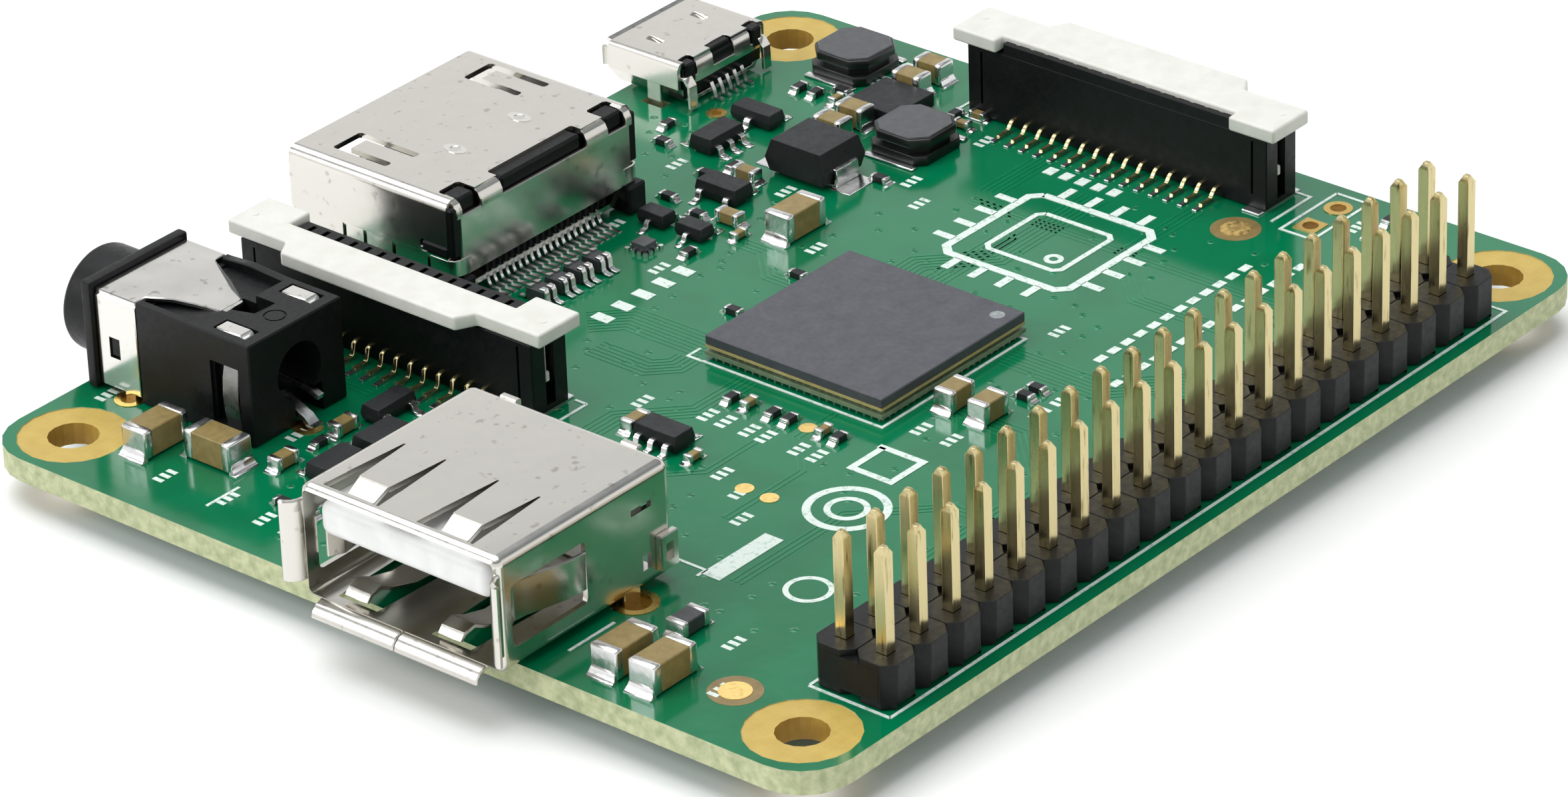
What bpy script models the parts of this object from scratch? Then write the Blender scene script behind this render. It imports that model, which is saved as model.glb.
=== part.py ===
"""A small single board computer with its connectors, packages and sprung card socket.

Every sub-part is a closed solid in an object of its own. Sizes are in millimetres in the board's
drawing frame: u runs along the long edge, v along the short edge and h is the height above the
board's upper face. The empty called board_datum carries that frame; it stands at the board's
corner, and its parent-free place sets the world origin under the middle of the whole assembly.
"""

import math

import bmesh
import bpy
from mathutils import Matrix, Vector

MM = 0.001
GAP = 0.05

# Driving sizes of the board.
BOARD_LENGTH = 65.0
BOARD_WIDTH = 56.0
BOARD_THICKNESS = 1.35
BOARD_CORNER = 3.0
TAIL_LENGTH = 1.5
HOLE_INSET = 3.5
HOLE_RADIUS = 1.375
RING_RADIUS = 2.97
RING_DEPTH = 0.05
TAIL_TIP = -(BOARD_THICKNESS + TAIL_LENGTH)

# Pin header: two rows of twenty posts.
PIN_PITCH = 2.54
PIN_COLUMNS = 20
PIN_WIDTH = 0.64
PIN_TOP = 8.4
PIN_TAPER = 0.3
HEADER_CENTRE = (32.5, 52.5)
HEADER_HEIGHT = 2.54
PIN_HOLE_RADIUS = 0.54

# Type A serial port at the u = 65 edge.
USB_REAR = 53.9
USB_MOUTH = 66.8
USB_LIP = 67.6
USB_CENTRE = 31.45
USB_HALF_WIDTH = 6.575
USB_FLOOR = 0.3
USB_TOP = 6.75
USB_SHEET = 0.3
USB_TAB = 57.1
USB_PIN_ROW = 54.4
USB_PIN_SPREAD = (-3.5, -1.0, 1.0, 3.5)

# Video port, power port and sound socket along the v = 0 edge.
VIDEO_CENTRE = 32.0
VIDEO_HALF_WIDTH = 7.5
VIDEO_MOUTH = -1.43
VIDEO_REAR = 10.4
VIDEO_FLOOR = 0.6
VIDEO_TOP = 6.3
VIDEO_SHEET = 0.3
POWER_CENTRE = 10.6
POWER_HALF_WIDTH = 3.75
POWER_MOUTH = -1.0
POWER_REAR = 4.7
POWER_TOP = 2.85
POWER_SHEET = 0.25
SOUND_CENTRE = 53.5
SOUND_HALF_WIDTH = 3.5
SOUND_MOUTH = -2.1
SOUND_FLANGE = (0.45, 1.15)
SOUND_REAR = 12.2
SOUND_TOP = 5.95
SOUND_BARREL_RADIUS = 2.95
SOUND_BORE_RADIUS = 1.8
SOUND_AXIS_HEIGHT = 3.05
SOUND_SHIELD_END = 4.1

# Upright flat-cable connectors: the same housing, with the latch turned about for the display.
RIBBON_HALF_LENGTH = 10.3
RIBBON_HALF_DEPTH = 1.35
RIBBON_SEAT = 4.4
RIBBON_COMB_TOP = 5.05
LATCH_BOTTOM = 4.5
LATCH_TOP = 5.35
CAMERA_CENTRE = (44.85, 11.55)
DISPLAY_CENTRE = (3.6, 28.0)

# Memory card socket under the board at the u = 0 edge.
CARD_CENTRE = 28.0
CARD_HALF_WIDTH = 7.0
CARD_FRONT = 1.0
CARD_REAR = 15.6
CARD_ROOF = -(BOARD_THICKNESS + 0.05)
CARD_FLOOR = TAIL_TIP + 0.1
CARD_SHEET = 0.2
CARD_TRAVEL = 1.2

# Processor stack.
STACK_CENTRE = (29.7, 30.47)
STACK_HALF = 6.0

# Whole assembly: the origin lies under the middle of its bounding box, at the tips of the tails.
ASSEMBLY_U = (0.0, USB_LIP)
ASSEMBLY_V = (SOUND_MOUTH, BOARD_WIDTH)

# Box-like packages: size along the long side, size across it, height.
PACKAGES = {
    "ceramic_large": (3.2, 1.75, 1.75),
    "ceramic_small": (2.0, 1.3, 1.3),
    "ferrite_bead": (2.0, 1.25, 0.95),
    "transistor_case": (2.9, 1.45, 1.0),
    "small_transistor_case": (1.9, 1.2, 0.9),
    "choke_case": (1.4, 1.1, 0.85),
    "regulator_case": (3.6, 3.0, 0.9),
    "lamp_case": (1.6, 0.8, 0.7),
}

# Node name, package, finish, centre u, centre v, long side along u or v.
PLACED_PACKAGES = [
    ("input_capacitor", "ceramic_large", "ceramic", 21.7, 19.05, "u"),
    ("sound_capacitor_1", "ceramic_large", "ceramic", 59.75, 7.8, "u"),
    ("sound_capacitor_2", "ceramic_large", "ceramic", 58.95, 11.5, "v"),
    ("port_capacitor_1", "ceramic_large", "ceramic", 61.9, 44.1, "u"),
    ("port_capacitor_2", "ceramic_large", "ceramic", 61.9, 41.65, "u"),
    ("port_ferrite", "ferrite_bead", "ferrite", 57.5, 41.9, "u"),
    ("core_capacitor_1", "ceramic_small", "ceramic", 31.9, 40.4, "u"),
    ("core_capacitor_2", "ceramic_small", "ceramic", 31.9, 38.2, "u"),
    ("power_capacitor_1", "ceramic_small", "ceramic", 2.75, 13.4, "v"),
    ("power_capacitor_2", "ceramic_small", "ceramic", 4.7, 13.4, "v"),
    ("power_capacitor_3", "ceramic_small", "ceramic", 9.75, 13.4, "v"),
    ("power_capacitor_4", "ceramic_small", "ceramic", 11.65, 13.4, "v"),
    ("power_regulator", "regulator_case", "black_resin", 7.2, 14.0, "v"),
    ("port_switch", "transistor_case", "black_resin", 43.9, 28.6, "v"),
    ("sound_diode", "transistor_case", "black_resin", 50.1, 15.2, "u"),
    ("sound_buffer_1", "transistor_case", "black_resin", 52.9, 17.3, "u"),
    ("sound_buffer_2", "transistor_case", "black_resin", 56.4, 17.3, "u"),
    ("power_transistor_1", "transistor_case", "black_resin", 16.3, 8.9, "u"),
    ("power_transistor_2", "transistor_case", "black_resin", 12.8, 8.9, "v"),
    ("video_switch", "transistor_case", "black_resin", 20.95, 13.35, "v"),
    ("video_transistor_1", "small_transistor_case", "black_resin", 25.5, 15.1, "v"),
    ("video_transistor_2", "small_transistor_case", "black_resin", 25.5, 12.7, "v"),
    ("video_choke_1", "choke_case", "ferrite", 31.5, 13.2, "v"),
    ("video_choke_2", "choke_case", "ferrite", 33.0, 13.2, "v"),
    ("video_choke_3", "choke_case", "ferrite", 34.5, 13.2, "v"),
    ("video_choke_4", "choke_case", "ferrite", 36.0, 13.2, "v"),
    ("status_lamp_1", "lamp_case", "clear_resin", 2.0, 46.9, "v"),
    ("status_lamp_2", "lamp_case", "clear_resin", 3.6, 46.9, "v"),
]

# Base colour, roughness, metallic value.
FINISHES = {
    "green_mask": ((0.0, 0.18, 0.08), 0.35, 0.0),
    "black_moulding": ((0.025, 0.026, 0.028), 0.5, 0.0),
    "white_moulding": ((0.87, 0.87, 0.83), 0.4, 0.0),
    "black_resin": ((0.09, 0.09, 0.1), 0.6, 0.0),
    "ferrite": ((0.16, 0.16, 0.17), 0.55, 0.0),
    "ceramic": ((0.33, 0.26, 0.13), 0.45, 0.0),
    "clear_resin": ((0.75, 0.72, 0.55), 0.3, 0.0),
    "bright_nickel": ((0.72, 0.7, 0.67), 0.25, 1.0),
    "gold_plate": ((0.72, 0.6, 0.33), 0.3, 1.0),
}


def clear_scene():
    """Remove every object that the file opened with."""
    for item in list(bpy.data.objects):
        bpy.data.objects.remove(item, do_unlink=True)


def add_datum():
    """Add the empty that carries the board's drawing frame."""
    datum = bpy.data.objects.new("board_datum", None)
    middle_u = sum(ASSEMBLY_U) / 2
    middle_v = sum(ASSEMBLY_V) / 2
    datum.location = Vector((-middle_u, -middle_v, -TAIL_TIP)) * MM
    bpy.context.collection.objects.link(datum)
    return datum


def circle(radius, sides, centre=(0.0, 0.0), first=0.0):
    """Return the corners of a regular polygon round a centre."""
    turns = (first + 2 * math.pi * step / sides for step in range(sides))
    return [(centre[0] + radius * math.cos(t), centre[1] + radius * math.sin(t)) for t in turns]


def rounded_rectangle(low, high, radius, steps):
    """Return a rectangle's outline with round corners, anticlockwise."""
    corners = [
        ((high[0] - radius, high[1] - radius), 0.0),
        ((low[0] + radius, high[1] - radius), math.pi / 2),
        ((low[0] + radius, low[1] + radius), math.pi),
        ((high[0] - radius, low[1] + radius), 3 * math.pi / 2),
    ]
    outline = []
    for centre, first in corners:
        for step in range(steps + 1):
            turn = first + (math.pi / 2) * step / steps
            outline.append((centre[0] + radius * math.cos(turn), centre[1] + radius * math.sin(turn)))
    return outline


def add_box(bm, low, high, bevel=0.0):
    """Add a box between two corners, with its edges cut back by the bevel."""
    middle = [(a + b) / 2 for a, b in zip(low, high)]
    size = [b - a for a, b in zip(low, high)]
    place = Matrix.Translation(middle) @ Matrix.Diagonal((*size, 1.0))
    verts = bmesh.ops.create_cube(bm, size=1.0, matrix=place)["verts"]
    if bevel:
        edges = list({edge for vert in verts for edge in vert.link_edges})
        bmesh.ops.bevel(bm, geom=edges, offset=bevel, segments=1, affect="EDGES")


def add_prism(bm, outline, axis, low, high):
    """Add an outline extruded along u, v or h; its points are the other two coordinates."""
    place = {
        "u": lambda point, along: (along, point[0], point[1]),
        "v": lambda point, along: (point[0], along, point[1]),
        "h": lambda point, along: (point[0], point[1], along),
    }[axis]
    first = [bm.verts.new(place(point, low)) for point in outline]
    last = [bm.verts.new(place(point, high)) for point in outline]
    bm.faces.new(list(reversed(first)))
    bm.faces.new(last)
    count = len(outline)
    for index in range(count):
        following = (index + 1) % count
        bm.faces.new((first[index], first[following], last[following], last[index]))


def add_post(bm, middle, width, low, high, taper):
    """Add a square upright post whose two ends are tapered."""
    half = width / 2
    tip = half * 0.55
    rings = [(tip, low), (half, low + taper), (half, high - taper), (tip, high)]
    loops = []
    for reach, height in rings:
        corners = ((-reach, -reach), (reach, -reach), (reach, reach), (-reach, reach))
        loops.append([bm.verts.new((middle[0] + x, middle[1] + y, height)) for x, y in corners])
    bm.faces.new(list(reversed(loops[0])))
    bm.faces.new(loops[-1])
    for below, above in zip(loops, loops[1:]):
        for index in range(4):
            following = (index + 1) % 4
            bm.faces.new((below[index], below[following], above[following], above[index]))


def link_mesh(name, bm, datum, at):
    """Close a mesh, turn it to metres and place its object on the datum."""
    bmesh.ops.recalc_face_normals(bm, faces=bm.faces)
    bmesh.ops.scale(bm, vec=(MM, MM, MM), verts=bm.verts)
    mesh = bpy.data.meshes.new(name)
    bm.to_mesh(mesh)
    bm.free()
    item = bpy.data.objects.new(name, mesh)
    item.parent = datum
    item.location = Vector(at) * MM
    bpy.context.collection.objects.link(item)
    return item


def add_solid(name, bm, datum, at, finish):
    """Make one sub-part from a mesh, with a material of its own."""
    item = link_mesh(name, bm, datum, at)
    colour, roughness, metallic = FINISHES[finish]
    material = bpy.data.materials.new(f"{name}_{finish}")
    material.use_nodes = True
    shader = material.node_tree.nodes["Principled BSDF"]
    shader.inputs["Base Color"].default_value = (*colour, 1.0)
    shader.inputs["Roughness"].default_value = roughness
    shader.inputs["Metallic"].default_value = metallic
    item.data.materials.append(material)
    return item


def combine(item, bm, operation, label):
    """Cut a mesh out of a sub-part, or join it on, with a Boolean modifier."""
    tool = link_mesh(f"{item.name}_{label}", bm, item.parent, item.location / MM)
    tool.hide_render = True
    tool.display_type = "WIRE"
    modifier = item.modifiers.new(label, "BOOLEAN")
    modifier.operation = operation
    modifier.object = tool


def cut(item, bm, label):
    """Cut a mesh out of a sub-part."""
    combine(item, bm, "DIFFERENCE", label)


def join(item, bm, label):
    """Join a mesh onto a sub-part."""
    combine(item, bm, "UNION", label)


def header_places():
    """Yield the place of each of the header's pins, measured from the header's centre."""
    for column in range(PIN_COLUMNS):
        along = (column - (PIN_COLUMNS - 1) / 2) * PIN_PITCH
        for row in (-PIN_PITCH / 2, PIN_PITCH / 2):
            yield along, row


def mounting_holes():
    """Yield the centres of the four mounting holes."""
    for u in (HOLE_INSET, BOARD_LENGTH - HOLE_INSET):
        for v in (HOLE_INSET, BOARD_WIDTH - HOLE_INSET):
            yield u, v


def tab_slots():
    """Yield the centre and half sizes of each slot for a shell's tab or a socket's leg."""
    for side in (-1, 1):
        yield (USB_TAB, USB_CENTRE + side * USB_HALF_WIDTH), (1.2, 0.5)
        yield (VIDEO_CENTRE + side * (VIDEO_HALF_WIDTH - 0.15), 1.2), (0.45, 1.0)
        yield (VIDEO_CENTRE + side * (VIDEO_HALF_WIDTH - 0.15), 7.0), (0.45, 1.0)
        yield (POWER_CENTRE + side * (POWER_HALF_WIDTH - 0.125), 2.6), (0.4, 0.8)
        yield (SOUND_CENTRE + side * (SOUND_HALF_WIDTH - 0.3), 2.4), (0.45, 0.8)
    yield (SOUND_CENTRE, 10.9), (0.8, 0.4)


def make_board(datum):
    """The glass-fibre board with its mounting holes, bare rings and plated slots."""
    bm = bmesh.new()
    outline = rounded_rectangle((0.0, 0.0), (BOARD_LENGTH, BOARD_WIDTH), BOARD_CORNER, 5)
    add_prism(bm, outline, "h", -BOARD_THICKNESS, 0.0)
    board = add_solid("circuit_board", bm, datum, (0.0, 0.0, 0.0), "green_mask")

    rings = bmesh.new()
    for centre in mounting_holes():
        for low, high in ((-BOARD_THICKNESS - 1, -BOARD_THICKNESS + RING_DEPTH), (-RING_DEPTH, 1.0)):
            add_prism(rings, circle(RING_RADIUS, 20, centre), "h", low, high)
    cut(board, rings, "rings")

    holes = bmesh.new()
    for centre in mounting_holes():
        add_prism(holes, circle(HOLE_RADIUS, 16, centre), "h", -3.0, 2.0)
    for along, across in header_places():
        centre = (HEADER_CENTRE[0] + along, HEADER_CENTRE[1] + across)
        add_prism(holes, circle(PIN_HOLE_RADIUS, 8, centre, math.pi / 8), "h", -3.0, 2.0)
    for spread in USB_PIN_SPREAD:
        add_prism(holes, circle(0.46, 8, (USB_PIN_ROW, USB_CENTRE + spread)), "h", -3.0, 2.0)
    for (u, v), (half_u, half_v) in tab_slots():
        add_box(holes, (u - half_u, v - half_v, -3.0), (u + half_u, v + half_v, 2.0))
    cut(board, holes, "holes")


def make_header(datum):
    """The pin header: forty square posts through a black insulator with notched sides."""
    half_row = PIN_PITCH
    flat = 0.75
    notch = 0.6
    front = []
    for column in range(PIN_COLUMNS):
        middle = (column - (PIN_COLUMNS - 1) / 2) * PIN_PITCH
        edge = PIN_PITCH / 2
        front.append((middle - edge, half_row - notch))
        front.append((middle - flat, half_row))
        front.append((middle + flat, half_row))
    front.append((PIN_COLUMNS / 2 * PIN_PITCH, half_row - notch))
    outline = [(u, -v) for u, v in front] + list(reversed(front))
    bm = bmesh.new()
    add_prism(bm, outline, "h", GAP, HEADER_HEIGHT)
    header = add_solid("pin_header", bm, datum, (*HEADER_CENTRE, 0.0), "black_moulding")

    posts = bmesh.new()
    for place in header_places():
        add_post(posts, place, PIN_WIDTH, TAIL_TIP, PIN_TOP, PIN_TAPER)
    join(header, posts, "posts")


def make_processor_stack(datum):
    """The processor with the memory package soldered on top of it."""
    lower = bmesh.new()
    add_box(lower, (-STACK_HALF, -STACK_HALF, 0.22), (STACK_HALF, STACK_HALF, 0.5))
    add_solid("processor", lower, datum, (*STACK_CENTRE, 0.0), "black_resin")
    upper = bmesh.new()
    half = STACK_HALF - 0.03
    add_box(upper, (-half, -half, 0.68), (half, half, 1.42))
    add_solid("memory_package", upper, datum, (*STACK_CENTRE, 0.0), "black_resin")


def make_usb_port(datum):
    """The type A port: folded shell with flared lips, white tongue and four contacts."""
    at = (USB_REAR, USB_CENTRE, 0.0)
    depth = USB_MOUTH - USB_REAR
    width = USB_HALF_WIDTH
    inner = width - USB_SHEET
    bm = bmesh.new()
    outline = rounded_rectangle((-width, USB_FLOOR), (width, USB_TOP), 0.5, 2)
    add_prism(bm, outline, "u", 0.0, depth)
    shell = add_solid("usb_shell", bm, datum, at, "bright_nickel")
    cavity = bmesh.new()
    low = (0.3, -inner, USB_FLOOR + USB_SHEET)
    add_box(cavity, low, (depth + 1.0, inner, USB_TOP - USB_SHEET))
    add_box(cavity, (-1.0, -inner + 0.6, -1.0), (0.25, inner - 0.6, 4.2))
    cut(shell, cavity, "cavity")
    floor_slot = bmesh.new()
    add_box(floor_slot, (-1.0, -4.4, -1.0), (2.6, 4.4, USB_FLOOR + 1.0))
    cut(shell, floor_slot, "floor_slot")

    lips = bmesh.new()
    reach = USB_LIP - USB_REAR
    start = depth - 0.4
    for side in (-1, 1):
        cheek = [(start, width - USB_SHEET), (depth, width - USB_SHEET), (reach, width + 0.25)]
        cheek += [(reach - 0.1, width + 0.5), (depth - 0.1, width - 0.01), (start, width - 0.01)]
        add_prism(lips, [(u, side * v) for u, v in cheek], "h", 1.9, 5.6)
        add_box(lips, (2.6, side * (width - 0.02), -1.6), (4.0, side * (width - 0.28), 1.0))
        sill = [(start, USB_FLOOR + 0.01), (depth, USB_FLOOR + 0.01), (reach - 0.1, -0.15)]
        sill += [(reach, 0.1), (depth + 0.1, USB_FLOOR + USB_SHEET), (start, USB_FLOOR + USB_SHEET)]
        ends = sorted((side * 0.15, side * 5.5))
        add_prism(lips, sill, "v", *ends)
    join(shell, lips, "lips")
    tabs = bmesh.new()
    for side in (-1, 1):
        ends = sorted((side * (width - 0.02), side * (width - 0.28)))
        add_box(tabs, (2.6, ends[0], TAIL_TIP), (3.8, ends[1], 1.2))
    join(shell, tabs, "tabs")

    bm = bmesh.new()
    add_box(bm, (1.5, -5.9, USB_FLOOR + 0.35), (3.0, 5.9, USB_TOP - 0.35))
    tongue = add_solid("usb_tongue", bm, datum, at, "white_moulding")
    blade = bmesh.new()
    add_box(blade, (2.5, -5.5, 4.35), (11.9, 5.5, 6.15))
    join(tongue, blade, "blade")
    passages = bmesh.new()
    for spread in USB_PIN_SPREAD:
        add_box(passages, (1.0, spread - 0.6, 3.85), (3.5, spread + 0.6, 4.35 + 0.001))
    cut(tongue, passages, "passages")

    pin = USB_PIN_ROW - USB_REAR
    for number, spread in enumerate(USB_PIN_SPREAD, start=1):
        strip = [(pin - 0.15, TAIL_TIP), (pin + 0.15, TAIL_TIP), (pin + 0.15, 3.95)]
        strip += [(11.0, 3.95), (11.4, 4.05), (11.4, 4.3), (pin - 0.15, 4.3)]
        bm = bmesh.new()
        add_prism(bm, strip, "v", spread - 0.3, spread + 0.3)
        add_solid(f"usb_contact_{number}", bm, datum, at, "gold_plate")


def make_video_port(datum):
    """The video port: wrapped shell with a bevelled lower mouth, and its black insulator."""
    at = (VIDEO_CENTRE, 0.0, 0.0)
    width = VIDEO_HALF_WIDTH
    sheet = VIDEO_SHEET

    def profile(inset):
        reach = width - inset
        low = VIDEO_FLOOR + inset
        high = VIDEO_TOP - inset
        return [(-reach + 2.0, low), (reach - 2.0, low), (reach, low + 1.8), (reach, high - 0.4),
                (reach - 0.4, high), (-reach + 0.4, high), (-reach, high - 0.4), (-reach, low + 1.8)]

    bm = bmesh.new()
    add_prism(bm, profile(0.0), "v", VIDEO_MOUTH, VIDEO_REAR)
    shell = add_solid("video_shell", bm, datum, at, "bright_nickel")
    cavity = bmesh.new()
    add_prism(cavity, profile(sheet), "v", VIDEO_MOUTH - 1.0, VIDEO_REAR - sheet)
    cut(shell, cavity, "cavity")
    rear_slot = bmesh.new()
    add_box(rear_slot, (-5.6, 7.6, -1.0), (5.6, VIDEO_REAR + 1.0, 1.6))
    cut(shell, rear_slot, "rear_slot")
    tabs = bmesh.new()
    for side in (-1, 1):
        ends = sorted((side * (width - 0.02), side * (width - 0.28)))
        for middle in (1.2, 7.0):
            add_box(tabs, (ends[0], middle - 0.6, TAIL_TIP), (ends[1], middle + 0.6, 2.9))
    join(shell, tabs, "tabs")

    inner = width - sheet - GAP
    bm = bmesh.new()
    rear_low = VIDEO_FLOOR + sheet + GAP
    rear_high = VIDEO_TOP - sheet - GAP
    block = [(-inner + 2.0, rear_low), (inner - 2.0, rear_low), (inner, rear_low + 1.9)]
    block += [(inner, rear_high - 0.5), (inner - 0.5, rear_high), (-inner + 0.5, rear_high)]
    block += [(-inner, rear_high - 0.5), (-inner, rear_low + 1.9)]
    add_prism(bm, block, "v", 6.0, VIDEO_REAR - sheet - GAP)
    insulator = add_solid("video_insulator", bm, datum, at, "black_moulding")
    tongue = bmesh.new()
    add_box(tongue, (-5.4, -0.4, 3.1), (5.4, 6.5, 4.1))
    join(insulator, tongue, "tongue")


def make_power_port(datum):
    """The small power port: shell with a flared mouth, and its insulator."""
    at = (POWER_CENTRE, 0.0, 0.0)
    width = POWER_HALF_WIDTH
    sheet = POWER_SHEET

    def profile(inset):
        reach = width - inset
        low = 0.15 + inset
        high = POWER_TOP - inset
        return [(-reach + 0.9, low), (reach - 0.9, low), (reach, low + 0.9),
                (reach, high), (-reach, high), (-reach, low + 0.9)]

    bm = bmesh.new()
    add_prism(bm, profile(0.0), "v", POWER_MOUTH, POWER_REAR)
    shell = add_solid("power_shell", bm, datum, at, "bright_nickel")
    cavity = bmesh.new()
    add_prism(cavity, profile(sheet), "v", POWER_MOUTH - 1.0, POWER_REAR + 1.0)
    cut(shell, cavity, "cavity")
    tabs = bmesh.new()
    for side in (-1, 1):
        ends = sorted((side * (width - 0.02), side * (width - 0.23)))
        add_box(tabs, (ends[0], 2.1, -1.2), (ends[1], 3.1, 1.6))
    join(shell, tabs, "tabs")

    inner = width - sheet - GAP
    low = 0.15 + sheet + GAP
    high = POWER_TOP - sheet - GAP
    bm = bmesh.new()
    block = [(-inner + 0.9, low), (inner - 0.9, low), (inner, low + 0.95)]
    block += [(inner, high), (-inner, high), (-inner, low + 0.95)]
    add_prism(bm, block, "v", 3.4, POWER_REAR - 0.1)
    insulator = add_solid("power_insulator", bm, datum, at, "black_moulding")
    tongue = bmesh.new()
    add_box(tongue, (-1.8, -0.3, 1.55), (1.8, 3.8, 2.15))
    join(insulator, tongue, "tongue")


def make_sound_socket(datum):
    """The round sound socket: housing, wrapped shield and three contact springs."""
    at = (SOUND_CENTRE, 0.0, 0.0)
    width = SOUND_HALF_WIDTH
    shield_sheet = 0.25
    neck = width - shield_sheet - GAP
    waist_top = SOUND_TOP - shield_sheet - GAP
    axis = (0.0, SOUND_AXIS_HEIGHT)
    flange_rear = SOUND_FLANGE[1]
    bm = bmesh.new()
    add_box(bm, (-width, SOUND_SHIELD_END, GAP), (width, SOUND_REAR, SOUND_TOP))
    housing = add_solid("sound_housing", bm, datum, at, "black_moulding")
    neck_block = bmesh.new()
    add_box(neck_block, (-neck, 0.8, GAP), (neck, SOUND_SHIELD_END + 0.5, waist_top))
    join(housing, neck_block, "neck")
    flange = bmesh.new()
    add_box(flange, (-width - 0.1, SOUND_FLANGE[0], 0.1), (width + 0.3, flange_rear, SOUND_TOP + 0.4))
    join(housing, flange, "flange")
    barrel = bmesh.new()
    add_prism(barrel, circle(SOUND_BARREL_RADIUS, 24, axis), "v", SOUND_MOUTH, 0.9)
    join(housing, barrel, "barrel")
    bore = bmesh.new()
    add_prism(bore, circle(SOUND_BORE_RADIUS, 20, axis), "v", SOUND_MOUTH - 1.0, SOUND_REAR + 1.0)
    cut(housing, bore, "bore")
    pockets = bmesh.new()
    add_box(pockets, (width - 0.55, 9.6, 0.9), (width + 0.5, 11.3, 4.3))
    for middle in (-2.45, 2.45):
        add_box(pockets, (middle - 0.6, 9.2, 5.3), (middle + 0.6, 11.5, SOUND_TOP + 0.5))
    cut(housing, pockets, "pockets")

    bm = bmesh.new()
    front = flange_rear + GAP
    rear = SOUND_SHIELD_END - GAP
    add_box(bm, (-width, front, SOUND_TOP - shield_sheet), (width, rear, SOUND_TOP))
    shield = add_solid("sound_shield", bm, datum, at, "bright_nickel")
    cheeks = bmesh.new()
    for side in (-1, 1):
        ends = sorted((side * width, side * (width - shield_sheet)))
        top = SOUND_TOP - 0.01
        outline = [(front, 0.4), (2.0, 0.4), (2.0, -2.4), (2.8, -2.4), (2.8, 0.4), (rear, 0.4)]
        outline += [(rear, top), (front, top)]
        add_prism(cheeks, outline, "u", *ends)
    join(shield, cheeks, "cheeks")

    contacts = [
        ("sound_contact_left", (-2.9, 9.35, 5.35), (-2.0, 11.35, 6.0)),
        ("sound_contact_right", (2.0, 9.35, 5.35), (2.9, 11.35, 6.0)),
        ("sound_contact_side", (width - 0.45, 9.75, 1.0), (width - 0.15, 11.15, 4.2)),
    ]
    for name, low, high in contacts:
        bm = bmesh.new()
        add_box(bm, low, high, bevel=0.1)
        add_solid(name, bm, datum, at, "bright_nickel")


def make_ribbon_connector(datum, prefix, centre, latch_side):
    """An upright flat-cable connector: slotted housing and a latch that lifts along h."""
    at = (*centre, 0.0)
    length = RIBBON_HALF_LENGTH
    depth = RIBBON_HALF_DEPTH
    bm = bmesh.new()
    add_box(bm, (-depth, -length, 0.1), (depth, length, RIBBON_SEAT))
    housing = add_solid(f"{prefix}_housing", bm, datum, at, "black_moulding")

    def across(low, high):
        return sorted((latch_side * low, latch_side * high))

    comb = bmesh.new()
    ends = across(-depth, -0.3)
    add_box(comb, (ends[0], -7.8, 3.0), (ends[1], 7.8, RIBBON_COMB_TOP))
    join(housing, comb, "comb")
    slots = bmesh.new()
    ends = across(-0.3, 0.75)
    add_box(slots, (ends[0], -8.1, 0.8), (ends[1], 8.1, 6.0))
    ends = across(-0.35, 0.35)
    for side in (-1, 1):
        reach = sorted((side * 8.6, side * (length + 1.0)))
        add_box(slots, (ends[0], reach[0], 0.5), (ends[1], reach[1], 6.0))
    cut(housing, slots, "slots")

    bm = bmesh.new()
    wing = 11.05
    outline = [(-1.75, -wing), (1.5, -wing), (1.5, -6.9), (2.6, -6.2), (2.6, 6.2), (1.5, 6.9)]
    outline += [(1.5, wing), (-1.75, wing), (-1.75, 8.0), (-0.18, 8.0), (-0.18, -8.0), (-1.75, -8.0)]
    add_prism(bm, [(latch_side * u, v) for u, v in outline], "h", LATCH_BOTTOM, LATCH_TOP)
    latch = add_solid(f"{prefix}_latch", bm, datum, at, "white_moulding")
    legs = bmesh.new()
    for side in (-1, 1):
        reach = sorted((side * 8.75, side * 9.9))
        add_box(legs, (-0.2, reach[0], 1.6), (0.2, reach[1], LATCH_BOTTOM + 0.2))
    ends = across(0.1, 0.6)
    add_box(legs, (ends[0], -7.7, 2.6), (ends[1], 7.7, LATCH_BOTTOM + 0.2))
    join(latch, legs, "legs")


def add_coil(bm, axis_start, coil_radius, wire_radius, turns, length, sides=5, steps=8):
    """Add a coil of round wire along u, with flat ends to its wire."""
    rings = []
    count = turns * steps
    for step in range(count + 1):
        turn = 2 * math.pi * step / steps
        spoke = Vector((0.0, math.cos(turn), math.sin(turn)))
        middle = Vector(axis_start) + Vector((length * step / count, 0.0, 0.0)) + spoke * coil_radius
        ring = []
        for side in range(sides):
            round_wire = 2 * math.pi * side / sides
            offset = spoke * math.cos(round_wire) + Vector((1.0, 0.0, 0.0)) * math.sin(round_wire)
            ring.append(bm.verts.new(middle + offset * wire_radius))
        rings.append(ring)
    bm.faces.new(rings[0])
    bm.faces.new(list(reversed(rings[-1])))
    for before, after in zip(rings, rings[1:]):
        for index in range(sides):
            following = (index + 1) % sides
            bm.faces.new((before[index], after[index], after[following], before[following]))


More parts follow.
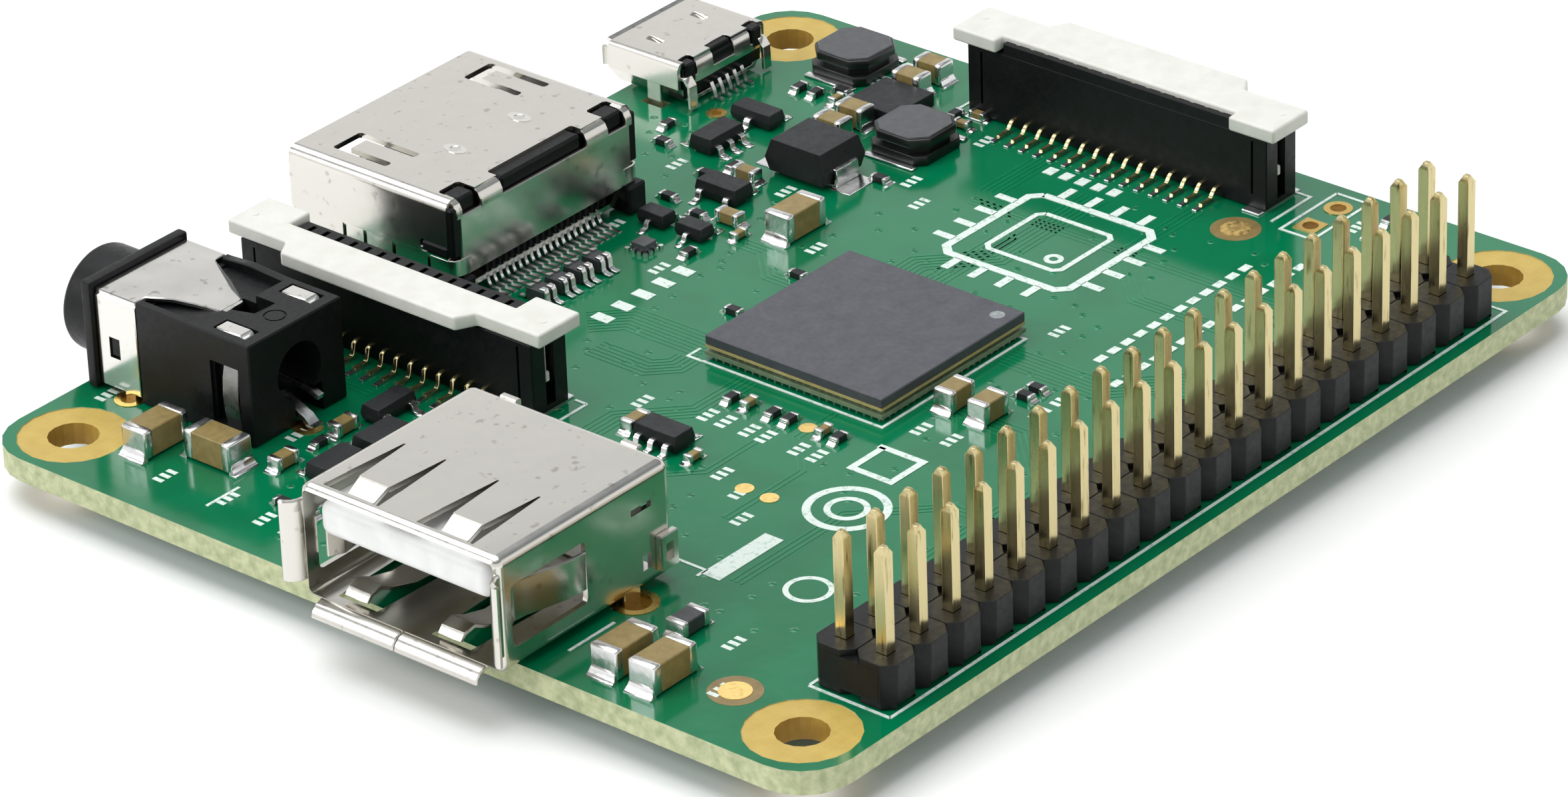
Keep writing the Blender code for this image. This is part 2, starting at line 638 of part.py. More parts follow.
def make_card_socket(datum):
    """The memory card socket: base, steel cover, slider that travels inwards, spring and cam rod."""
    at = (0.0, CARD_CENTRE, 0.0)
    width = CARD_HALF_WIDTH
    rear_wall = 1.2
    bm = bmesh.new()
    add_box(bm, (CARD_FRONT, -width, CARD_ROOF - 0.35), (CARD_REAR, width, CARD_ROOF))
    base = add_solid("card_base", bm, datum, at, "black_moulding")
    walls = bmesh.new()
    low = CARD_FLOOR + CARD_SHEET + GAP
    inside = CARD_REAR - rear_wall
    outline = [(CARD_FRONT, -width), (CARD_REAR, -width), (CARD_REAR, width), (inside, width)]
    outline += [(inside, -width + 0.8), (CARD_FRONT, -width + 0.8)]
    add_prism(walls, outline, "h", low, CARD_ROOF - 0.2)
    join(base, walls, "walls")

    bm = bmesh.new()
    sheet_top = CARD_FLOOR + CARD_SHEET
    add_box(bm, (CARD_FRONT - 0.2, -width - 0.3, CARD_FLOOR), (CARD_REAR - 0.3, width + 0.3, sheet_top))
    cover = add_solid("card_cover", bm, datum, at, "bright_nickel")
    flanks = bmesh.new()
    for side in (-1, 1):
        ends = sorted((side * (width + GAP), side * (width + 0.3)))
        top = CARD_ROOF - 0.1
        add_box(flanks, (CARD_FRONT, ends[0], sheet_top - 0.05), (CARD_REAR - 1.0, ends[1], top))
    join(cover, flanks, "flanks")
    windows = bmesh.new()
    add_box(windows, (9.5, -4.5, CARD_FLOOR - 1.0), (11.5, 4.5, sheet_top + 0.5))
    cut(cover, windows, "windows")

    roof = CARD_ROOF - 0.35 - GAP
    bm = bmesh.new()
    add_box(bm, (3.0, 5.4, low), (6.4, 6.8, roof))
    slider = add_solid("card_slider", bm, datum, at, "black_moulding")
    arm = bmesh.new()
    add_box(arm, (6.0, 4.3, low), (8.6, 5.7, roof))
    join(slider, arm, "arm")

    bm = bmesh.new()
    start = 6.4 + CARD_TRAVEL + 0.2
    middle_height = (low + roof) / 2
    add_coil(bm, (start, 6.2, middle_height), 0.28, 0.07, 9, CARD_REAR - rear_wall - 0.2 - start)
    add_solid("card_spring", bm, datum, at, "bright_nickel")

    bm = bmesh.new()
    add_box(bm, (10.2, 4.6, middle_height - 0.12), (CARD_REAR - rear_wall - 0.1, 4.84, middle_height + 0.12))
    add_solid("card_cam_rod", bm, datum, at, "bright_nickel")


def make_power_parts(datum):
    """The two storage inductors and the large diode of the power supply."""
    for number, centre in enumerate(((10.0, 17.95), (4.3, 9.0)), start=1):
        bm = bmesh.new()
        half = 2.0
        snip = 0.9
        outline = [(half, -half + snip), (half, half - snip), (half - snip, half), (-half + snip, half)]
        outline += [(-half, half - snip), (-half, -half + snip), (-half + snip, -half)]
        outline += [(half - snip, -half)]
        add_prism(bm, outline, "h", GAP, 1.68)
        add_solid(f"power_inductor_{number}", bm, datum, (*centre, 0.0), "ferrite")
    bm = bmesh.new()
    section = [(-1.8, 0.2), (1.8, 0.2), (1.9, 1.0), (1.75, 2.0), (-1.75, 2.0), (-1.9, 1.0)]
    add_prism(bm, section, "v", -2.15, 2.15)
    add_solid("power_diode", bm, datum, (15.6, 15.4, 0.0), "black_resin")


def make_packages(datum):
    """The box-like capacitors, chokes, transistors and lamps."""
    for name, package, finish, u, v, along in PLACED_PACKAGES:
        length, width, height = PACKAGES[package]
        half_u, half_v = (length / 2, width / 2) if along == "u" else (width / 2, length / 2)
        bm = bmesh.new()
        add_box(bm, (-half_u, -half_v, GAP), (half_u, half_v, height), bevel=0.06)
        add_solid(name, bm, datum, (u, v, 0.0), finish)


def main():
    """Build the whole assembly."""
    clear_scene()
    datum = add_datum()
    make_board(datum)
    make_header(datum)
    make_processor_stack(datum)
    make_usb_port(datum)
    make_video_port(datum)
    make_power_port(datum)
    make_sound_socket(datum)
    make_ribbon_connector(datum, "camera", CAMERA_CENTRE, 1)
    make_ribbon_connector(datum, "display", DISPLAY_CENTRE, -1)
    make_card_socket(datum)
    make_power_parts(datum)
    make_packages(datum)


main()
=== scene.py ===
"""Looks of a single board computer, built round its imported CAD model.

Pieces are modelled in millimetres in the board's drawing frame: u along the long edge, v along the
short edge and h above the board's upper face. Bench.settle turns each one to metres in the row frame
and puts it on its body.
"""

from __future__ import annotations

import logging
import math
import random
from collections.abc import Callable, Iterable, Sequence
from dataclasses import dataclass
from enum import Enum

import bpy
from mathutils import Matrix, Vector

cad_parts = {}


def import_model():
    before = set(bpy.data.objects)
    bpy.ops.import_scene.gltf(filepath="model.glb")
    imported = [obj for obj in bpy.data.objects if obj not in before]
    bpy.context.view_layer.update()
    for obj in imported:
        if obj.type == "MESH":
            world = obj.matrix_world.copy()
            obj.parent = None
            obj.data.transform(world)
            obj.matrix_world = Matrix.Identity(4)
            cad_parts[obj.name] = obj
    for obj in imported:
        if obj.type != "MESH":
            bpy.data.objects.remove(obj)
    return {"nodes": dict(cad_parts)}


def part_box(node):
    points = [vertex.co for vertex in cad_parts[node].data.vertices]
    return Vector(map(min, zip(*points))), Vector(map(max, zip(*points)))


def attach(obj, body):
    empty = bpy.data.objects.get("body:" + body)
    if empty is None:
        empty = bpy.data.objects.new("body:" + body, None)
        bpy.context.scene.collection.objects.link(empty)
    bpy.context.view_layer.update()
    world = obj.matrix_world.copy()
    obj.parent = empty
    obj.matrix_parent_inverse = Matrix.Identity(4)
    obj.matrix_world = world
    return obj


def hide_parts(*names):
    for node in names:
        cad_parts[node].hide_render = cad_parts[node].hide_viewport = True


log = logging.getLogger("board")

MM = 0.001
ROOT = "board_body"
HALF_TURN = Matrix.Rotation(math.pi, 4, "Z")
Point = tuple[float, float]
Place = tuple[float, float, float]
Size = tuple[float, float, float]
SUNK = -0.01  # Flat pieces start this far under the board's upper face, in mm, so that no gap shows.
SHARPEST_MITRE = 0.35  # The least cosine that a strip's corner is widened by.
SOLDER_SMOOTH = 80.0  # Solder is one liquid skin, so its facets are shaded as one up to this angle.
PAST = 1.0  # How far a cutting tool stands out past the piece that it cuts, in mm.
FACE_WEIGHT = 90  # How much more a large face counts than a small one in the shading, out of 100.


def linear(colour: str) -> tuple[float, float, float, float]:
    """Turn an sRGB hex colour to a linear one.

    Args:
        colour: The colour as a hash and six hex digits.

    Returns:
        Red, green, blue and an alpha of one.
    """
    shares = [int(colour[start:start + 2], 16) / 255 for start in (1, 3, 5)]
    red, green, blue = (
        share / 12.92 if share <= 0.04045 else ((share + 0.055) / 1.055) ** 2.4 for share in shares
    )
    return red, green, blue, 1.0


def add_node(
    tree: bpy.types.NodeTree,
    kind: str,
    settings: dict[str, object] | None = None,
    links: dict[str, bpy.types.NodeSocket] | None = None,
) -> bpy.types.Node:
    """Add a shader node.

    Args:
        tree: The node tree that it goes in.
        kind: The node's Blender type.
        settings: Values by input name, or by property name where no input has that name. A number as
            text picks an input by its place.
        links: Sockets to link from, by input name or place.

    Returns:
        The new node.
    """
    node = tree.nodes.new(kind)
    for key, value in (settings or {}).items():
        if key.isdigit():
            node.inputs[int(key)].default_value = value
        elif key in node.inputs:
            node.inputs[key].default_value = value
        else:
            setattr(node, key, value)
    for key, socket in (links or {}).items():
        tree.links.new(socket, node.inputs[int(key)] if key.isdigit() else node.inputs[key])
    return node


def add_ramp(
    tree: bpy.types.NodeTree, factor: bpy.types.NodeSocket, stops: Sequence[tuple[float, str]]
) -> bpy.types.NodeSocket:
    """Colour a factor through a ramp.

    Args:
        tree: The node tree.
        factor: The socket that drives the ramp.
        stops: Places along the ramp, rising, each with an sRGB hex colour.

    Returns:
        The ramp's colour socket.
    """
    ramp = add_node(tree, "ShaderNodeValToRGB", links={"Fac": factor})
    elements = ramp.color_ramp.elements
    while len(elements) < len(stops):
        elements.new(0.5)
    for element, (place, colour) in zip(elements, stops):
        element.position = place
        element.color = linear(colour)
    return ramp.outputs["Color"]


def noise_of(tree: bpy.types.NodeTree, size_mm: float, detail: float = 2.0) -> bpy.types.NodeSocket:
    """Add a noise pattern on the piece's own coordinates.

    Args:
        tree: The node tree.
        size_mm: The size of one blotch.
        detail: The number of finer octaves.

    Returns:
        The noise's factor, from 0 to 1.
    """
    place = add_node(tree, "ShaderNodeTexCoord").outputs["Object"]
    noise = add_node(
        tree, "ShaderNodeTexNoise", {"Scale": 1 / (size_mm * MM), "Detail": detail}, {"Vector": place}
    )
    return noise.outputs["Fac"]


def add_bump(
    tree: bpy.types.NodeTree,
    shader: bpy.types.Node,
    height: bpy.types.NodeSocket,
    depth_mm: float,
) -> None:
    """Give a shader a bump.

    Args:
        tree: The node tree.
        shader: The principled shader.
        height: The socket that holds the height, from 0 to 1.
        depth_mm: How deep a height of one is.
    """
    bump = add_node(tree, "ShaderNodeBump", {"Distance": depth_mm * MM}, {"Height": height})
    tree.links.new(bump.outputs["Normal"], shader.inputs["Normal"])


def vary_roughness(
    tree: bpy.types.NodeTree, shader: bpy.types.Node, factor: bpy.types.NodeSocket, low: float, high: float
) -> None:
    """Let a pattern drive a shader's roughness.

    Args:
        tree: The node tree.
        shader: The principled shader.
        factor: The pattern, from about 0.3 to 0.7 as a noise gives it.
        low: The roughness where the pattern is low.
        high: The roughness where the pattern is high.
    """
    settings = {"From Min": 0.3, "From Max": 0.7, "To Min": low, "To Max": high}
    spread = add_node(tree, "ShaderNodeMapRange", settings, {"Value": factor})
    tree.links.new(spread.outputs["Result"], shader.inputs["Roughness"])


@dataclass(frozen=True)
class Finish:
    """A finish with one colour, which kinds of finish add their own detail to."""

    name: str
    colour: str
    roughness: float = 0.4
    metallic: float = 0.0
    ior: float = 1.5

    def material(self) -> bpy.types.Material:
        """Return this finish's material, making it the first time."""
        found = bpy.data.materials.get(self.name)
        if found:
            return found
        made = bpy.data.materials.new(self.name)
        made.use_nodes = True
        tree = made.node_tree
        shader = tree.nodes["Principled BSDF"]
        shader.inputs["Base Color"].default_value = linear(self.colour)
        shader.inputs["Roughness"].default_value = self.roughness
        shader.inputs["Metallic"].default_value = self.metallic
        if not self.metallic:
            shader.inputs["IOR"].default_value = self.ior
        self.dress(tree, shader)
        return made

    def dress(self, tree: bpy.types.NodeTree, shader: bpy.types.Node) -> None:
        """Add the detail of this kind of finish.

        Args:
            tree: The material's node tree.
            shader: Its principled shader.
        """


@dataclass(frozen=True)
class MouldedNylon(Finish):
    """Glass-filled nylon from a spark-eroded mould: satin, with a fine grain that breaks up its shine."""

    shade: str = "#000000"
    grain_mm: float = 0.07
    grain_depth_mm: float = 0.006

    def dress(self, tree: bpy.types.NodeTree, shader: bpy.types.Node) -> None:
        """Mottle the colour and the shine, and raise the grain."""
        mottle = noise_of(tree, 1.1, 4.0)
        tree.links.new(
            add_ramp(tree, mottle, [(0.3, self.shade), (0.7, self.colour)]), shader.inputs["Base Color"]
        )
        vary_roughness(tree, shader, noise_of(tree, 0.35, 3.0), self.roughness * 0.8, self.roughness * 1.25)
        add_bump(tree, shader, noise_of(tree, self.grain_mm, 3.0), self.grain_depth_mm)


@dataclass(frozen=True)
class PlatedSheet(Finish):
    """Nickel plate over stamped sheet: soft mirror with rolling lines, faint stains and specks."""

    stain: str = "#B9B5AD"
    waviness_mm: float = 0.008

    def dress(self, tree: bpy.types.NodeTree, shader: bpy.types.Node) -> None:
        """Stain the plate, dull it in patches and let it waver as stamped sheet does."""
        stains = add_ramp(tree, noise_of(tree, 0.7, 3.0), [(0.27, self.stain), (0.36, self.colour)])
        specks = add_node(
            tree,
            "ShaderNodeTexVoronoi",
            {"Scale": 1 / (1.5 * MM), "Randomness": 1.0},
            {"Vector": add_node(tree, "ShaderNodeTexCoord").outputs["Object"]},
        )
        spots = add_ramp(tree, specks.outputs["Distance"], [(0.07, "#A39F97"), (0.13, "#FFFFFF")])
        mixed = add_node(
            tree, "ShaderNodeMix", {"data_type": "RGBA", "blend_type": "MULTIPLY", "0": 0.4}, {
                "6": stains, "7": spots
            }
        )
        tree.links.new(mixed.outputs[2], shader.inputs["Base Color"])
        vary_roughness(tree, shader, noise_of(tree, 0.8, 3.0), self.roughness * 0.9, self.roughness * 1.15)
        add_bump(tree, shader, noise_of(tree, 2.2, 0.0), self.waviness_mm)


@dataclass(frozen=True)
class SolderCoat(Finish):
    """Reflowed tin solder: bright and rippled, with dull frosted patches where it froze."""

    def dress(self, tree: bpy.types.NodeTree, shader: bpy.types.Node) -> None:
        """Ripple the skin and frost it in patches."""
        vary_roughness(tree, shader, noise_of(tree, 0.4, 3.0), self.roughness * 0.8, self.roughness * 1.35)
        add_bump(tree, shader, noise_of(tree, 0.45, 1.0), 0.012)


@dataclass(frozen=True)
class SinteredBody(Finish):
    """Fired ceramic or ferrite: matt, finely pitted, a little uneven in colour."""

    shade: str = "#6A5A36"

    def dress(self, tree: bpy.types.NodeTree, shader: bpy.types.Node) -> None:
        """Cloud the colour and pit the skin."""
        cloud = noise_of(tree, 0.5, 5.0)
        tree.links.new(
            add_ramp(tree, cloud, [(0.32, self.shade), (0.68, self.colour)]), shader.inputs["Base Color"]
        )
        add_bump(tree, shader, noise_of(tree, 0.05, 3.0), 0.008)


@dataclass(frozen=True)
class Laminate(Finish):
    """Bare glass-fibre laminate: resin over a plain weave, which shows as a dim square mesh."""

    shade: str = "#9A8F58"
    thread_mm: float = 0.42

    def dress(self, tree: bpy.types.NodeTree, shader: bpy.types.Node) -> None:
        """Show the weave's threads and the resin's uneven depth."""
        place = add_node(tree, "ShaderNodeTexCoord").outputs["Object"]
        scale = 2 * math.pi / (self.thread_mm * MM) / 20
        threads = []
        for direction in ("X", "Y"):
            settings = {"Scale": scale, "Distortion": 0.6, "bands_direction": direction}
            threads.append(add_node(tree, "ShaderNodeTexWave", settings, {"Vector": place}).outputs["Fac"])
        weave = add_node(tree, "ShaderNodeMath", {"operation": "MAXIMUM"}, {"0": threads[0], "1": threads[1]})
        cloud = noise_of(tree, 1.0, 4.0)
        both = add_node(
            tree, "ShaderNodeMath", {"operation": "MULTIPLY_ADD", "1": 0.07}, {
                "0": weave.outputs[0], "2": cloud
            }
        )
        colours = [(0.3, self.shade), (0.95, self.colour)]
        tree.links.new(add_ramp(tree, both.outputs[0], colours), shader.inputs["Base Color"])
        add_bump(tree, shader, weave.outputs[0], 0.001)


@dataclass(frozen=True)
class SolderMask(Finish):
    """Liquid green solder mask over copper: a glossy skin, lighter where copper lies under it."""

    bare: str = "#006740"

    def dress(self, tree: bpy.types.NodeTree, shader: bpy.types.Node) -> None:
        """Cloud the green where copper lies under it and give the skin a faint orange peel."""
        cloud = add_ramp(tree, noise_of(tree, 7.0, 2.0), [(0.4, self.bare), (0.52, self.colour)])
        tree.links.new(cloud, shader.inputs["Base Color"])
        vary_roughness(tree, shader, noise_of(tree, 2.0, 3.0), self.roughness * 0.85, self.roughness * 1.2)
        add_bump(tree, shader, noise_of(tree, 1.4, 2.0), 0.006)


@dataclass(frozen=True)
class Ink(Finish):
    """Screen-printed epoxy ink: opaque, matt, thin enough for its edges to fray."""

    def dress(self, tree: bpy.types.NodeTree, shader: bpy.types.Node) -> None:
        """Let the ink's cover vary and roughen it."""
        cover = add_ramp(tree, noise_of(tree, 0.25, 4.0), [(0.3, "#9DB8AA"), (0.46, self.colour)])
        tree.links.new(cover, shader.inputs["Base Color"])
        add_bump(tree, shader, noise_of(tree, 0.08, 2.0), 0.006)


@dataclass(frozen=True)
class GoldPlate(Finish):
    """Flash gold over drawn brass: pale, with draw lines along the metal and thin worn streaks."""

    shade: str = "#8E7F55"

    def dress(self, tree: bpy.types.NodeTree, shader: bpy.types.Node) -> None:
        """Streak the plate along the draw and wave its skin."""
        place = add_node(tree, "ShaderNodeTexCoord").outputs["Object"]
        drawn = add_node(tree, "ShaderNodeMapping", {"Scale": (1.0, 1.0, 0.12)}, {"Vector": place})
        settings = {"Scale": 1 / (0.25 * MM), "Detail": 4.0}
        streaks = add_node(tree, "ShaderNodeTexNoise", settings, {"Vector": drawn.outputs[0]}).outputs["Fac"]
        tree.links.new(
            add_ramp(tree, streaks, [(0.28, self.shade), (0.42, self.colour)]), shader.inputs["Base Color"]
        )
        vary_roughness(tree, shader, streaks, self.roughness * 0.8, self.roughness * 1.25)
        add_bump(tree, shader, streaks, 0.002)


# The board: wet green mask, lighter over copper and darker in the via holes, straw laminate where it is
# bare, and chalky ink.
MASK = SolderMask("green_solder_mask", "#006E46", roughness=0.13, ior=1.5)
TRACE_MASK = MouldedNylon(
    "masked_copper", "#07784D", roughness=0.14, shade="#046C45", grain_mm=0.5, grain_depth_mm=0.004
)
GAP_MASK = MouldedNylon(
    "masked_gap", "#00532F", roughness=0.3, shade="#004327", grain_mm=0.5, grain_depth_mm=0.004
)
EDGE = SinteredBody("routed_laminate_edge", "#BDC199", roughness=0.7, shade="#99A27B")
RING = Laminate("bare_laminate_ring", "#C4AA58", roughness=0.5, shade="#B39746")
RING_WALL = Laminate("drilled_laminate", "#BC9940", roughness=0.6, shade="#9A7628")
MOAT = Laminate("bare_laminate_moat", "#8E7A4A", roughness=0.45, shade="#75623A")
INK = Ink("white_legend_ink", "#D3DFD8", roughness=0.6)
MARK_GREY = Ink("grey_laser_marking", "#85878A", roughness=0.6)
# Gold: pale and streaked on the posts, warm and soft on the flat pads, and a deep dark gold inside a hole
# that is painted shade.
GOLD = GoldPlate("gold_plated_post", "#CDBF90", roughness=0.22, metallic=1.0)
PAD_GOLD = GoldPlate("gold_plated_pad", "#F2D288", roughness=0.45, metallic=1.0, shade="#E6C070")
HOLE_GOLD = GoldPlate("gold_plated_hole", "#DDBB6C", roughness=0.3, metallic=1.0, shade="#C49A4A")
# A dark gold that paints the shade inside each plated hole.
HOLE_SHADE_GOLD = GoldPlate("shaded_gold_bore", "#8A6420", roughness=0.5, metallic=1.0, shade="#5E4212")
# Silver metals: the shells mirror softly and waver, the solder glints and frosts.
NICKEL = PlatedSheet("nickel_plated_shell", "#D8D5CE", roughness=0.2, metallic=1.0)
BRIGHT = PlatedSheet("bright_plated_spring", "#E2E0DB", roughness=0.14, metallic=1.0, waviness_mm=0.015)
# The side spring's tin is a darker grey than the other tinned parts; it sits in the sound housing's side
# pocket.
SPRING = SolderCoat("dark_grey_tinned_spring", "#8B8C8B", roughness=0.32, metallic=1.0)
TIN = SolderCoat("tinned_lead", "#D9D9D8", roughness=0.22, metallic=1.0)
SOLDER = SolderCoat("reflowed_solder", "#E4E4E4", roughness=0.2, metallic=1.0)
# Mouldings: the blacks keep a satin grain, and the whites differ in warmth.
BLACK = MouldedNylon("black_moulded_nylon", "#0E0F11", roughness=0.4, ior=1.32, shade="#08090A")
HEADER_BLACK = MouldedNylon("black_header_polyester", "#111214", roughness=0.4, ior=1.34, shade="#0B0C0D")
WHITE = MouldedNylon(
    "white_latch_nylon", "#D7D6D0", roughness=0.42, shade="#CDCCC5", grain_mm=0.1, grain_depth_mm=0.002
)
TONGUE = MouldedNylon(
    "white_tongue_polyester", "#E2E3E2", roughness=0.35, shade="#D8D9D7", grain_depth_mm=0.002
)
# Packages: dull resins, laminates with a weave and matt fired bodies.
RESIN = MouldedNylon("black_chip_resin", "#202224", roughness=0.46, ior=1.38, shade="#191A1C", grain_mm=0.05)
SLATE = MouldedNylon(
    "slate_package_resin", "#484A50", roughness=0.5, shade="#3F4046", grain_mm=0.09, grain_depth_mm=0.012
)
SUBSTRATE = Laminate("package_substrate", "#C0B27C", roughness=0.5, shade="#A09358", thread_mm=0.2)
UNDER_SUBSTRATE = Laminate("processor_substrate", "#7E8F70", roughness=0.45, shade="#5A6E52", thread_mm=0.2)
CERAMIC = SinteredBody("tan_capacitor_ceramic", "#8D7A49", roughness=0.42, shade="#7B693B")
FERRITE = SinteredBody("grey_ferrite", "#3B3D40", roughness=0.45, shade="#303234")
COIL_BLACK = SinteredBody("black_inductor_resin", "#131415", roughness=0.35, shade="#0D0E0E")
COIL_TOP = SinteredBody("grey_inductor_lid", "#47494C", roughness=0.35, shade="#3C3E41")
LAMP = MouldedNylon("clear_lamp_resin", "#E8DFA8", roughness=0.2, shade="#D8CC84", grain_depth_mm=0.001)
# The studio's card, nearly white.
FLOOR = Finish("pale_card", "#F4F4F3", roughness=0.8)


class Axis(Enum):
    """The direction that an outline is pushed along; its points are the other two coordinates."""

    U = "u"
    V = "v"
    H = "h"

    def place(self, point: Point, along: float) -> Place:
        """Return the place of an outline's point.

        Args:
            point: The point's two coordinates, in rising order of the other axes.
            along: Its distance along this axis.

        Returns:
            All three coordinates.
        """
        if self is Axis.U:
            return along, point[0], point[1]
        if self is Axis.V:
            return point[0], along, point[1]
        return point[0], point[1], along


def mitres(path: Sequence[Point]) -> list[Vector]:
    """Return the step across a path at each of its corners that keeps a strip's width even.

    Args:
        path: The corners.

    Returns:
        The step from each corner to a line that runs one unit to the left.
    """
    steps = []
    for index, point in enumerate(path):
        here = Vector(point)
        before = Vector(path[max(index - 1, 0)])
        after = Vector(path[min(index + 1, len(path) - 1)])
        first = (here - before).normalized() if index else (after - here).normalized()
        second = (after - here).normalized() if index < len(path) - 1 else first
        along = (first + second).normalized()
        steps.append(Vector((-along.y, along.x)) / max(along.dot(first), SHARPEST_MITRE))
    return steps


def octagon(half: float, snip: float) -> list[Point]:
    """Return a square's corners with each one cut off by a snip."""
    return [
        (half, -half + snip), (half, half - snip), (half - snip, half), (-half + snip, half),
        (-half, half - snip), (-half, -half + snip), (-half + snip, -half), (half - snip, -half),
    ]


class Bench:
    """The modelling tools, in millimetres in the drawing frame."""

    def __init__(self, datum: Vector) -> None:
        """Set up the bench.

        Args:
            datum: The drawing frame's origin in the row frame, in metres.
        """
        self.datum = datum

    def take(self, pieces: Sequence[bpy.types.Object]) -> bpy.types.Object:
        """Select these pieces alone and make the first one active.

        Args:
            pieces: The pieces.

        Returns:
            The first piece.
        """
        bpy.ops.object.select_all(action="DESELECT")
        for piece in pieces:
            piece.select_set(True)
        bpy.context.view_layer.objects.active = pieces[0]
        return pieces[0]

    def block(self, first: Place, second: Place, bevel: float = 0.0, segments: int = 1) -> bpy.types.Object:
        """Model a box.

        Args:
            first: One corner.
            second: The corner across from it.
            bevel: The width of its bevelled edges.
            segments: The facets across each bevel.

        Returns:
            The box.
        """
        bpy.ops.object.select_all(action="DESELECT")
        low, high = Vector(map(min, first, second)), Vector(map(max, first, second))
        bpy.ops.mesh.primitive_cube_add(size=1, location=(high + low) / 2, scale=high - low)
        piece = bpy.context.object
        bpy.ops.object.transform_apply(location=True, rotation=True, scale=True)
        if bevel:
            self.bevel(piece, bevel, segments)
        return piece

    def profile(
        self,
        outline: Sequence[Point],
        axis: Axis,
        low: float,
        high: float,
        bevel: float = 0.0,
        segments: int = 1,
    ) -> bpy.types.Object:
        """Model an outline pushed along an axis.

        Args:
            outline: The outline's corners, in order.
            axis: The axis that it is pushed along.
            low: Where it starts.
            high: Where it ends.
            bevel: The width of its bevelled edges.
            segments: The facets across each bevel.

        Returns:
            The solid.
        """
        bpy.ops.object.select_all(action="DESELECT")
        bpy.ops.mesh.primitive_circle_add(vertices=len(outline), fill_type="NGON")
        piece = bpy.context.object
        for vertex, point in zip(piece.data.vertices, outline):
            vertex.co = axis.place(point, low)
        bpy.ops.object.mode_set(mode="EDIT")
        bpy.ops.mesh.select_all(action="SELECT")
        step = Vector(axis.place((0.0, 0.0), high - low))
        bpy.ops.mesh.extrude_region_move(TRANSFORM_OT_translate={"value": step})
        bpy.ops.mesh.select_all(action="SELECT")
        bpy.ops.mesh.normals_make_consistent(inside=False)
        bpy.ops.object.mode_set(mode="OBJECT")
        if bevel:
            self.bevel(piece, bevel, segments)
        return piece

    def rod(
        self,
        middle: Point,
        radius: float,
        axis: Axis,
        low: float,
        high: float,
        sides: int = 24,
        end_radius: float | None = None,
    ) -> bpy.types.Object:
        """Model a round rod, or a cone where its two radii differ.

        Args:
            middle: The centre of its section.
            radius: Its radius where it starts.
            axis: The axis that it lies along.
            low: Where it starts.
            high: Where it ends.
            sides: The facets round it.
            end_radius: Its radius where it ends.

        Returns:
            The rod.
        """
        spoke = [(math.cos(2 * math.pi * s / sides), math.sin(2 * math.pi * s / sides)) for s in range(sides)]
        piece = self.profile(
            [(middle[0] + radius * c, middle[1] + radius * s) for c, s in spoke], axis, low, high
        )
        if end_radius is not None:
            index = {Axis.U: 0, Axis.V: 1, Axis.H: 2}[axis]
            centre = Vector(axis.place(middle, high))
            for vertex in piece.data.vertices:
                if abs(vertex.co[index] - high) < 1e-6:
                    vertex.co = centre + (vertex.co - centre) * (end_radius / radius)
        return piece

    def strip(
        self, path: Sequence[Point], thick: float, axis: Axis, low: float, high: float, bevel: float = 0.0
    ) -> bpy.types.Object:
        """Model a strip of sheet bent along a path.

        Args:
            path: The middle of the sheet, seen along the axis.
            thick: The sheet's thickness.
            axis: The axis across the strip.
            low: Where the strip starts.
            high: Where it ends.
            bevel: The width of its bevelled edges.

        Returns:
            The strip.
        """
        steps = [step * thick / 2 for step in mitres(path)]
        left = [tuple(Vector(point) + step) for point, step in zip(path, steps)]
        right = [tuple(Vector(point) - step) for point, step in zip(path, steps)]
        return self.profile(left + right[::-1], axis, low, high, bevel)

    def bevel(self, piece: bpy.types.Object, width: float, segments: int = 1, angle: float = 30.0) -> None:
        """Bevel a piece's sharp edges with an applied modifier.

        Args:
            piece: The piece.
            width: The bevel's width.
            segments: The facets across each bevel.
            angle: The least angle of an edge that is bevelled, in degrees.
        """
        self.take([piece])
        modifier = piece.modifiers.new("bevel", "BEVEL")
        modifier.width = width
        modifier.segments = segments
        modifier.limit_method = "ANGLE"
        modifier.angle_limit = math.radians(angle)
        bpy.ops.object.modifier_apply(modifier=modifier.name)

    def carve(self, piece: bpy.types.Object, tools: Iterable[bpy.types.Object]) -> bpy.types.Object:
        """Cut tools out of a piece and throw them away.

        Args:
            piece: The piece.
            tools: The solids to cut with.

        Returns:
            The piece.
        """
        for tool in tools:
            self.take([piece])
            modifier = piece.modifiers.new("carve", "BOOLEAN")
            modifier.operation = "DIFFERENCE"
            modifier.object = tool
            bpy.ops.object.modifier_apply(modifier=modifier.name)
            bpy.data.objects.remove(tool)
        return piece

    def twin(self, piece: bpy.types.Object, move: Matrix) -> bpy.types.Object:
        """Copy a piece with its own mesh and move the copy.

        Args:
            piece: The piece.
            move: How the copy's mesh is moved.

        Returns:
            The copy.
        """
        copy = piece.copy()
        copy.data = piece.data.copy()
        copy.data.transform(move)
        bpy.context.collection.objects.link(copy)
        return copy

    def repeat(self, piece: bpy.types.Object, moves: Sequence[Matrix]) -> bpy.types.Object:
        """Copy a piece by each of several moves and join the copies; the original goes.

        Args:
            piece: The piece modelled once.
            moves: How each copy's mesh is moved.

        Returns:
            The joined copies.
        """
        made = [self.twin(piece, move) for move in moves]
        bpy.data.objects.remove(piece)
        return self.join(made)

    def copies(self, piece: bpy.types.Object, steps: Iterable[Place]) -> bpy.types.Object:
        """Copy a piece to several steps from where it is and join the copies.

        Args:
            piece: The piece modelled once.
            steps: How far each copy is from it.

        Returns:
            The joined copies.
        """
        return self.repeat(piece, [Matrix.Translation(step) for step in steps])

    def join(self, pieces: Sequence[bpy.types.Object]) -> bpy.types.Object:
        """Join pieces into the first one.

        Args:
            pieces: The pieces.

        Returns:
            The joined piece.
        """
        joined = self.take(list(pieces))
        if len(pieces) > 1:
            bpy.ops.object.join()
        return joined

